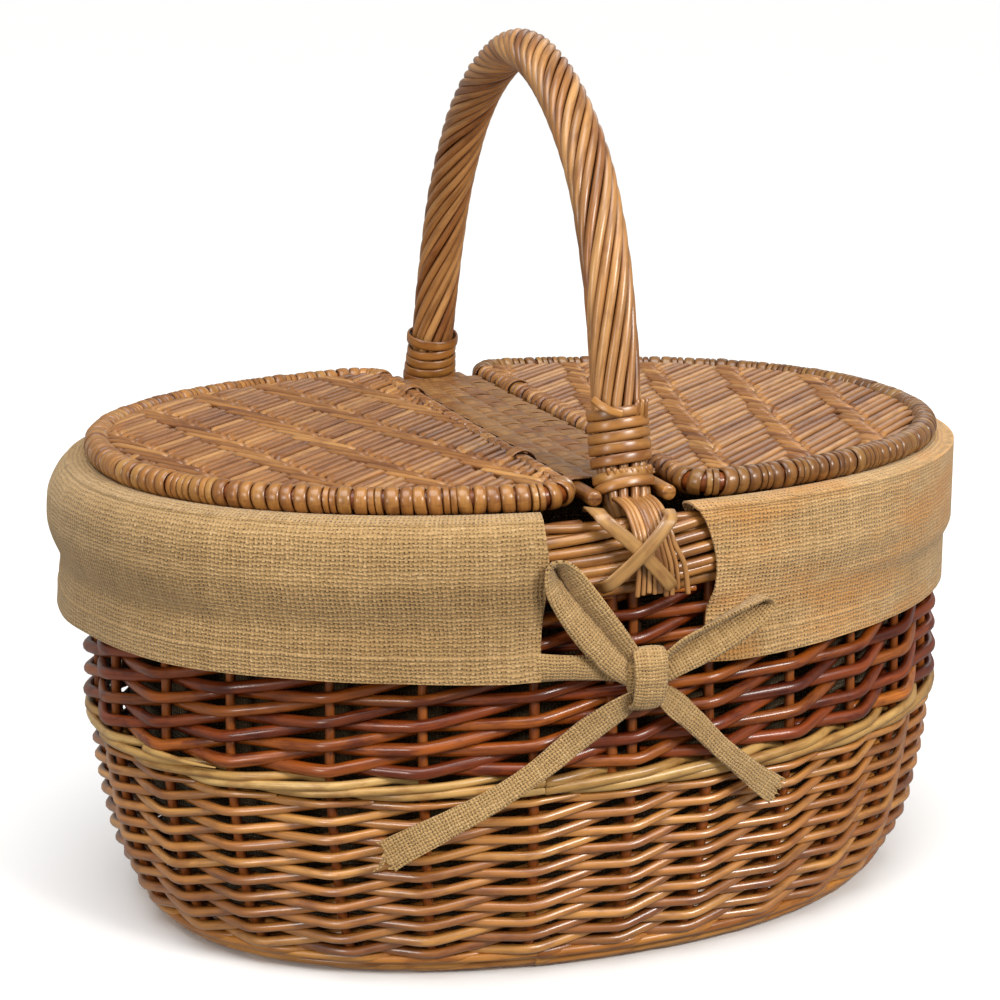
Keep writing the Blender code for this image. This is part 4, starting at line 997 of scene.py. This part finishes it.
def cuff(name, s0, s1, right):
    n = 420
    s = np.linspace(s0, s1, n)
    t = at_arc(s)
    A = np.broadcast_to(cuff_prof[:, 0], (n, len(cuff_prof))).copy()
    Z = np.broadcast_to(cuff_prof[:, 1], (n, len(cuff_prof))).copy()
    S = np.broadcast_to(s[:, None], A.shape).copy()
    V = np.broadcast_to(cuff_run, A.shape)
    hang = np.clip((V - cuff_run[int(92 * 0.36)]) / (cuff_run[-1] - cuff_run[int(92 * 0.36)]), 0, 1)
    sgn = 1.0 if right else -1.0
    mid = (s0 + s1) / 2
    seed = 400 if right else 420
    ends = np.minimum(s - s0, s1 - s)[:, None]
    near_end = smooth01(ends / 0.05)
    # tight over the border on the right, fuller on the left
    body_in = (0.0058 if right else -0.0046) * np.exp(-((S - mid) / 0.13) ** 2) + (0.0032 if right else 0.0010)
    A -= body_in * smooth01((V - 0.034) / 0.02)
    if right:
        A -= 0.0028 * np.exp(-((S - mid) / 0.16) ** 2) * smooth01((V - 0.020) / 0.014)
    # soft folds: long shallow waves that grow towards the hem, and creases across
    A += hang ** 1.3 * 0.0024 * wavy(S * 9 + 0.18 * V / 0.1, seed, 0.55, 3)
    A += 0.0016 * wavy(S * 5 + 9 * V, seed + 3, 0.8, 2) * smooth01((V - 0.03) / 0.02)
    A += 0.0010 * wavy(V * 34 + 0.7 * np.sin(S * 21), seed + 5, 0.5, 2) * hang
    pinch = 0.0016 if not right else 0.0006
    A -= pinch * np.exp(-((Z - 0.179) / 0.007) ** 2) * smooth01(1.2 - np.abs(S - mid) / 0.25)
    # the hem's double fold stands out a little
    hemd = cuff_run[-1] - V
    A += 0.0006 * smooth01((0.0118 - hemd) / 0.0012)
    # edge beside the handle: turned back, curving inward over the border
    A -= (1 - smooth01(ends / 0.016)) * 0.0022 * smooth01((V - 0.05) / 0.02)
    # the hem is not level
    drop = np.where(right, 0.0006, 0.0022) * (1 - smooth01(np.abs(S - mid) / 0.28 * 0.9)) * -1.0
    Z += hang ** 2 * (-drop * 1.2 + 0.0009 * wavy(S * 6, seed + 8, 0.5, 2) - 0.0018 * (1 - smooth01(ends / 0.09)) * (0.4 if right else 1.0))
    # slant of the free edges
    edge_s0, edge_s1 = (1 - smooth01((S - s0) / 0.05)), (1 - smooth01((s1 - S) / 0.05))
    if right:
        bulge = 0.0105 * np.exp(-((Z - 0.238) / 0.016) ** 2) - 0.0035 * np.exp(-((Z - 0.197) / 0.014) ** 2)
        S -= edge_s0 * bulge
        S += edge_s1 * bulge
    else:
        bulge = 0.0030 * np.exp(-((Z - 0.205) / 0.02) ** 2)
        S += edge_s1 * bulge
        S -= edge_s0 * bulge
    # keep off the border
    floor_a = 0.2234 + (BORDER_OUT - 0.2222) * smooth01((Z - 0.1775) / 0.0105)
    outer_side = V > 0.036
    A = np.where(outer_side, np.maximum(A, floor_a), A)
    T = at_arc(S)
    P = plan(A, T)
    O = np.concatenate([P, Z[..., None]], -1)
    du, dv = np.gradient(O, axis=0), np.gradient(O, axis=1)
    nn = unit(np.cross(du, dv))
    want = np.concatenate([plan_out(A, T), np.zeros_like(Z)[..., None]], -1)
    if (nn[:, 60:] * want[:, 60:]).sum() < 0:
        nn = -nn
    thick = 0.0010 + 0.0007 * smooth01((0.0118 - hemd) / 0.0012)
    inner = O - nn * thick[..., None]
    coords = np.stack([S * (0.2290 / 0.2223) * 1.0, V, hemd], -1)
    return O, inner, coords


def add_cuff(name, s0, s1, right, node):
    O, I, co = cuff(name, s0, s1, right)
    ob = make(name, [shell(O, I, co)], m_cloth_r if right else m_cloth, "basket", [node], angle=60)
    return ob


add_cuff("liner_cuff_cloth_right", 0.0300, GIRTH / 2 - 0.0300, True, "liner_cuff_right")
add_cuff("liner_cuff_cloth_left", GIRTH / 2 + 0.0490, GIRTH - 0.0490, False, "liner_cuff_left")

# the bag inside: bottom and side in one, with slack folds
prof = spline(np.array([(0.0600, 0.0105), (0.1000, 0.0103), (0.1400, 0.0103), (0.1640, 0.0106), (0.1730, 0.0150), (0.1800, 0.0260), (0.1880, 0.0420), (0.1960, 0.0750), (0.1996, 0.1100), (0.2004, 0.1600), (0.2006, 0.2020), (0.2024, 0.2052), (0.2056, 0.2062), (0.2084, 0.2056)]), 8)
prof, prun = resample(prof, 84)
nb = 360
tt = np.linspace(-PI / 2, 1.5 * PI, nb, endpoint=False)
A = np.broadcast_to(prof[:, 0], (nb, 84)).copy()
Z = np.broadcast_to(prof[:, 1], (nb, 84)).copy()
S = np.interp(tt, T_TAB, S_TAB)[:, None] * np.ones_like(A)
wall_part = smooth01((Z - 0.02) / 0.03)
per_s = 2 * PI / GIRTH
# only where a cuff folds over the border; in the two slots beside the handle the bag stays upright
sl = np.minimum(np.abs(np.mod(S + GIRTH / 2, GIRTH) - GIRTH / 2), np.abs(S - GIRTH / 2))
lip = smooth01((sl - 0.050) / 0.012)
A = np.where(Z > 0.2010, 0.2006 + (A - 0.2006) * lip, A)
Z = np.where(Z > 0.2010, 0.2010 + (Z - 0.2010) * (0.55 + 0.45 * lip), Z)
A -= wall_part * (1 - 0.9 * smooth01((A - 0.2012) / 0.004)) * (0.0012 + 0.0011 * (np.sin(9 * per_s * S + 2 * Z * 40) + 0.6 * np.sin(23 * per_s * S + 1.1) + 0.5 * np.sin(41 * per_s * S + Z * 60)) / 2)
Z += (1 - wall_part) * 0.0007 * (np.sin(7 * per_s * S) * np.sin(A * 90))
T = np.broadcast_to(tt[:, None], A.shape)
O = np.concatenate([plan(A, T), Z[..., None]], -1)
fill = O[:, 0].mean(0)
# flat middle of the bottom: the ring closes on itself along the long axis
inner = np.concatenate([plan(A - 0.0011 * wall_part - 0.0001, T), (Z + 0.0011 * (1 - wall_part))[..., None]], -1)
co = np.stack([S, np.broadcast_to(prun, A.shape), np.full_like(A, 0.3)], -1)
bag = shell(O, inner, co, closed_u=True)
nseam = 84
# plug of the bottom's middle, a small oval sheet joined to the ring's edge
ring0 = O[:, 0]
kk = np.linspace(0.0, 1.0, 8)
plug = ring0[:, None, :] * np.stack([0.02 + 0.98 * kk, 0.02 + 0.98 * kk, np.ones(8)], -1)[None]
plug_in = plug + np.array([0, 0, 0.0011])
pc = np.stack([plug[..., 0], plug[..., 1], np.full(plug.shape[:2], 0.3)], -1)
bag2 = shell(plug, plug_in, pc, closed_u=True)
# rv marks the bag's two sides: 0 on the side facing the willow, which the lining material paints darker as shade, 1 on
# the side seen inside
for sheet_ in (bag, bag2):
    half = len(sheet_["rv"]) // 2
    sheet_["rv"][half:] = 1.0
bag2["rv"][:] = 1.0 - bag2["rv"]
ob = make("liner_bag_cloth", [bag, bag2], m_bag, "basket", ["liner_bag"], angle=60)
area = 0.0


def ribbon(pts, dirs, widths, thick=0.0022, seed=0.0, puff=0.0, v0=0.0, per_seg=8, fray=False, edge=0.0, cols=11):
    """A flat fabric tie: pts its middle line, dirs the way its width runs, folded double so its edges are round."""
    P = spline(np.asarray(pts, float), per_seg)
    D = unit(spline(np.asarray(dirs, float), per_seg))
    W = spline(np.asarray(widths, float)[:, None] * 1.18, per_seg)[:, 0]
    tan = unit(np.gradient(P, axis=0))
    D = unit(D - (D * tan).sum(-1, keepdims=True) * tan)
    N = np.cross(tan, D)
    run = np.concatenate([[0], np.cumsum(np.linalg.norm(np.diff(P, axis=0), axis=1))])
    q = np.linspace(-1, 1, cols)
    th = thick / 2 * np.sqrt(1 - 0.93 * q ** 2)
    crown = puff * (1 - q ** 2)[None, :] + edge * 0 + 0.00035 * np.sin(run[:, None] * 900 + seed * 7) * (1 - q ** 2)[None] * 0.6
    wob = 1 + 0.035 * wavy(run * 55, int(seed * 97) + 3, 0.6)
    base = P[:, None, :] + D[:, None, :] * (W / 2 * wob)[:, None, None] * q[None, :, None] + N[:, None, :] * crown[..., None]
    if fray:
        base[-1] += tan[-1] * (0.0022 * np.random.default_rng(int(seed * 50) + 1).uniform(-1, 1, cols))[:, None]
    O = base + N[:, None, :] * th[None, :, None]
    I = base - N[:, None, :] * th[None, :, None]
    co = np.stack([W[:, None] / 2 * q[None] + seed * 0.013, np.broadcast_to(run[:, None] + v0, (len(run), cols)), np.full((len(run), cols), 0.3)], -1)
    return shell(O, I, co, seed=seed), float(run[-1]), float(np.mean(W))


def fray_threads(end, direction, across, width, n, seed):
    g = np.random.default_rng(seed)
    out = []
    d, a = unit(np.array([direction], float))[0], unit(np.array([across], float))[0]
    for k in range(n):
        o = np.array(end) + a * width * (k / (n - 1) - 0.5) + d * -0.002
        l = g.uniform(0.002, 0.0055)
        b = a * g.normal(0, 0.0012) + np.array([0, -0.0006, -0.0003]) * g.random()
        pts = np.array([o, o + d * l * 0.5 + b * 0.4, o + d * l + b])
        out.append(tube(pts, [0.00042, 0.0004, 0.0003], sides=5, seed=0.5))
    return out


def face_y(x, z, off):
    """y of the front face of the wall, off metres outside it."""
    a = float(np.interp(z, WALL_Z, WALL_A)) + off
    b = a - AXIS_DIFF
    return -b * (1 - min(abs(x / a), 0.999) ** N_PLAN) ** (1 / N_PLAN)


for end, sg in (("front", 1.0), ("rear", -1.0)):
    def F(x, z, off):
        return (x, sg * face_y(x, z, off), z)

    def Dv(x, y, z):
        return (x, sg * y, z)

    # left loop: out along its lower left side, round the tip and back along the upper right
    lp = [F(-0.004, 0.1500, 0.0055), F(-0.018, 0.1610, 0.0075), F(-0.0330, 0.1790, 0.0085), F(-0.0440, 0.1960, 0.0085), F(-0.0475, 0.2045, 0.0090), F(-0.0450, 0.2085, 0.0095),
          F(-0.0400, 0.2050, 0.0095), F(-0.0310, 0.1925, 0.0090), F(-0.0170, 0.1740, 0.0080), F(-0.0040, 0.1560, 0.0060)]
    ld = [Dv(-0.75, -0.2, -0.62), Dv(-0.80, -0.2, -0.55), Dv(-0.82, -0.3, -0.48), Dv(-0.72, -0.6, -0.30), Dv(-0.5, -0.85, 0.15), Dv(-0.1, -0.95, 0.3),
          Dv(0.45, -0.85, 0.25), Dv(0.62, -0.66, 0.40), Dv(0.66, -0.60, 0.45), Dv(0.62, -0.55, 0.5)]
    lw = [0.0085, 0.0112, 0.0124, 0.0126, 0.0120, 0.0116, 0.0114, 0.0106, 0.0094, 0.0078]
    # left tail
    tp = [F(0.001, 0.1450, 0.0050), F(-0.0100, 0.1395, 0.0060), F(-0.0300, 0.1275, 0.0050), F(-0.0500, 0.1120, 0.0040), F(-0.0700, 0.0985, 0.0036), F(-0.0900, 0.0870, 0.0036), F(-0.1075, 0.0770, 0.0040), F(-0.1165, 0.0715, 0.0048)]
    td = [Dv(0.3, -0.5, 0.8), Dv(0.42, -0.2, 0.88), Dv(0.50, -0.06, 0.85), Dv(0.60, -0.02, 0.80), Dv(0.52, -0.02, 0.85), Dv(0.45, -0.04, 0.88), Dv(0.50, -0.05, 0.86), Dv(0.55, -0.08, 0.83)]
    tw = [0.0085, 0.0100, 0.0104, 0.0088, 0.0090, 0.0104, 0.0120, 0.0132]
    a1, l1, w1 = ribbon(lp, ld, lw, thick=0.0030, seed=0.3, puff=0.0010, cols=13)
    a2, l2, w2 = ribbon(tp, td, tw, thick=0.0034, seed=0.7, puff=0.0008, fray=True, cols=13)
    left = make("%s_bow_left_tie" % end, [a1, a2] + fray_threads(tp[-1], np.array(tp[-1]) - np.array(tp[-2]), td[-1], 0.0120, 15, 31), m_tie, "basket", ["%s_bow_left_strap" % end], angle=70)
    # right loop: its eye shows, so its two sides stand apart
    rp = [F(0.004, 0.1560, 0.0060), F(0.0150, 0.1665, 0.0085), F(0.0300, 0.1740, 0.0105), F(0.0450, 0.1805, 0.0120), F(0.0545, 0.1838, 0.0122), F(0.0580, 0.1815, 0.0120),
          F(0.0545, 0.1775, 0.0120), F(0.0420, 0.1705, 0.0110), F(0.0260, 0.1625, 0.0090), F(0.0120, 0.1560, 0.0075), F(0.003, 0.1500, 0.0060)]
    rd = [Dv(-0.2, -0.75, 0.6), Dv(-0.15, -0.85, 0.5), Dv(-0.1, -0.92, 0.36), Dv(-0.05, -0.95, 0.25), Dv(0.1, -0.97, 0.1), Dv(0.25, -0.95, -0.05),
          Dv(0.2, -0.80, -0.55), Dv(0.22, -0.55, -0.80), Dv(0.25, -0.45, -0.85), Dv(0.25, -0.5, -0.8), Dv(0.2, -0.55, -0.8)]
    rw = [0.0080, 0.0100, 0.0108, 0.0108, 0.0098, 0.0092, 0.0098, 0.0112, 0.0112, 0.0100, 0.0080]
    qp = [F(0.005, 0.1440, 0.0045), F(0.0140, 0.1365, 0.0052), F(0.0250, 0.1260, 0.0044), F(0.0370, 0.1135, 0.0040), F(0.0490, 0.1025, 0.0040), F(0.0600, 0.0930, 0.0044), F(0.0690, 0.0860, 0.0052)]
    qd = [Dv(-0.4, -0.6, -0.6), Dv(-0.60, -0.3, -0.72), Dv(-0.74, -0.15, -0.66), Dv(-0.70, -0.10, -0.70), Dv(-0.66, -0.08, -0.74), Dv(-0.64, -0.08, -0.76), Dv(-0.66, -0.1, -0.74)]
    qw = [0.0085, 0.0105, 0.0090, 0.0084, 0.0090, 0.0104, 0.0116]
    b1, m1, x1 = ribbon(rp, rd, rw, thick=0.0028, seed=0.45, puff=0.0008, cols=13)
    b2, m2, x2 = ribbon(qp, qd, qw, thick=0.0034, seed=0.9, puff=0.0008, fray=True, cols=13)
    right = make("%s_bow_right_tie" % end, [b1, b2] + fray_threads(qp[-1], np.array(qp[-1]) - np.array(qp[-2]), qd[-1], 0.0110, 15, 33), m_tie, "basket", ["%s_bow_right_strap" % end], angle=70)
    # the knot's band, wound round, and the tie from the left cuff's corner
    q = np.linspace(0, 2 * PI, 9)[:-1]
    cx_, cz_ = -0.0014, 0.1515
    yk = face_y(cx_, cz_, 0.0070)
    kp = [(cx_ + 0.0006, sg * (yk + 0.0040), cz_ + 0.0105), (cx_ + 0.0004, sg * (yk - 0.0010), cz_ + 0.0135), (cx_ + 0.0002, sg * (yk - 0.0052), cz_ + 0.0105), (cx_, sg * (yk - 0.0068), cz_ + 0.0030),
          (cx_ - 0.0004, sg * (yk - 0.0066), cz_ - 0.0050), (cx_ - 0.0010, sg * (yk - 0.0048), cz_ - 0.0110), (cx_ - 0.0014, sg * (yk - 0.0006), cz_ - 0.0135), (cx_ - 0.0014, sg * (yk + 0.0040), cz_ - 0.0105)]
    kd = [Dv(1, 0, 0)] * 8
    c1, kl, kw = ribbon(kp, kd, [0.0118, 0.0130, 0.0136, 0.0134, 0.0130, 0.0124, 0.0118, 0.0108], thick=0.0030, seed=0.15, puff=0.0, cols=15)
    fillet = tube(np.array([(cx_ - 0.0070, sg * (yk + 0.0006), cz_), (cx_ - 0.0020, sg * (yk - 0.0006), cz_ + 0.0005), (cx_ + 0.0030, sg * (yk - 0.0004), cz_), (cx_ + 0.0068, sg * (yk + 0.0010), cz_ - 0.0005)]),
                  0.0085, 0.0040, up=(0, sg, 0), sides=16, seed=0.2)
    fillet["rc"] = fillet["v"] * np.array([1.0, 0, 0]) + np.stack([0 * fillet["v"][:, 0], fillet["v"][:, 2], np.full(len(fillet["v"]), 0.3)], -1)
    kk_ = [F(-0.0545, 0.1590, 0.0022), F(-0.0475, 0.1592, 0.0052), F(-0.0360, 0.1585, 0.0056), F(-0.0220, 0.1570, 0.0050), F(-0.0080, 0.1545, 0.0052)]
    c2, tl, tw2 = ribbon(kk_, [Dv(0.1, -0.1, 1), Dv(0.05, -0.1, 1), Dv(0.0, -0.1, 1), Dv(0.05, -0.1, 1), Dv(0.15, -0.2, 1)], [0.0118, 0.0108, 0.0100, 0.0100, 0.0094], thick=0.0026, seed=0.55, puff=0.0004)
    knot = make("%s_bow_knot_cloth" % end, [c1, c2, fillet], m_tie, "basket", ["%s_bow_knot" % end], angle=70)

# ------------------------------------------------------------------ floor, light and camera
fm = Tree("studio_floor")
fn = fm.noise(fm.node("ShaderNodeTexCoord").outputs["Object"], 3.0, 2.0)
fm.put(fm.bsdf.inputs["Base Color"], fm.ramp(fn, [(0.0, (0.955, 0.955, 0.955, 1)), (1.0, (0.97, 0.97, 0.97, 1))]))
fm.bsdf.inputs["Roughness"].default_value = 0.95
fm.bsdf.inputs["Specular IOR Level"].default_value = 0.0
me = bpy.data.meshes.new("studio_floor")
R = 60.0
me.from_pydata([(-R, -R, 0), (R, -R, 0), (R, R, 0), (-R, R, 0)], [], [(0, 1, 2, 3)])
me.materials.append(fm.m)
floor = bpy.data.objects.new("studio_floor", me)
bpy.context.scene.collection.objects.link(floor)
floor.location.z = float(cad_lo.z) - 0.0003
floor.visible_diffuse = False      # a cut-out white ground: it sends no light back up
floor.visible_glossy = False

world = bpy.data.worlds.new("studio")
bpy.context.scene.world = world
world.use_nodes = True
bg = world.node_tree.nodes["Background"]
bg.inputs["Color"].default_value = (1.0, 0.985, 0.96, 1.0)
bg.inputs["Strength"].default_value = 0.30


def area(name, az, el, dist, size, power, color=(1, 1, 1), target=(0, 0, 0.16)):
    d = bpy.data.lights.new(name, "AREA")
    d.shape = "RECTANGLE"
    d.size, d.size_y = size
    d.energy = power
    d.color = color
    o = bpy.data.objects.new(name, d)
    a, e = math.radians(az), math.radians(el)
    o.location = Vector((math.sin(a) * math.cos(e), -math.cos(a) * math.cos(e), math.sin(e))) * dist + Vector(target)
    o.rotation_mode = "QUATERNION"
    o.rotation_quaternion = (Vector(target) - o.location).to_track_quat("-Z", "Y")
    bpy.context.scene.collection.objects.link(o)
    return o


area("key_left", -54, 16, 2.2, (0.50, 0.60), 12, (1.0, 0.97, 0.93))
area("key_right", 24, 31, 2.2, (0.75, 0.45), 35, (1.0, 0.97, 0.93))
area("back_right", 136, 31, 2.2, (1.0, 0.7), 2.5, (1.0, 0.98, 0.96))
sun = bpy.data.lights.new("sky_sun", "SUN")
sun.energy, sun.angle = 2.42, math.radians(50)
so = bpy.data.objects.new("sky_sun", sun)
so.rotation_euler = (math.radians(12), math.radians(-10), 0)
bpy.context.scene.collection.objects.link(so)

AZ, EL, DIST, FOC, CX, CY, TZ = -19.8729, 13.3502, 1.2316, 2414.58, 518.06, 496.89, 0.196
cam = bpy.data.cameras.new("camera")
cam.sensor_fit, cam.sensor_width = "HORIZONTAL", 36.0
cam.lens = FOC * 36.0 / 1000.0
cam.shift_x, cam.shift_y = (500 - CX) / 1000.0, (CY - 500) / 1000.0
cam.clip_start, cam.clip_end = 0.05, 200.0
co_ = bpy.data.objects.new("camera", cam)
a, e = math.radians(AZ), math.radians(EL)
back = Vector((math.sin(a) * math.cos(e), -math.cos(a) * math.cos(e), math.sin(e)))
co_.location = back * DIST + Vector((0, 0, TZ))
co_.rotation_mode = "QUATERNION"
co_.rotation_quaternion = back.to_track_quat("Z", "Y")
bpy.context.scene.collection.objects.link(co_)
bpy.context.scene.camera = co_
bpy.context.scene.view_settings.view_transform = "Standard"
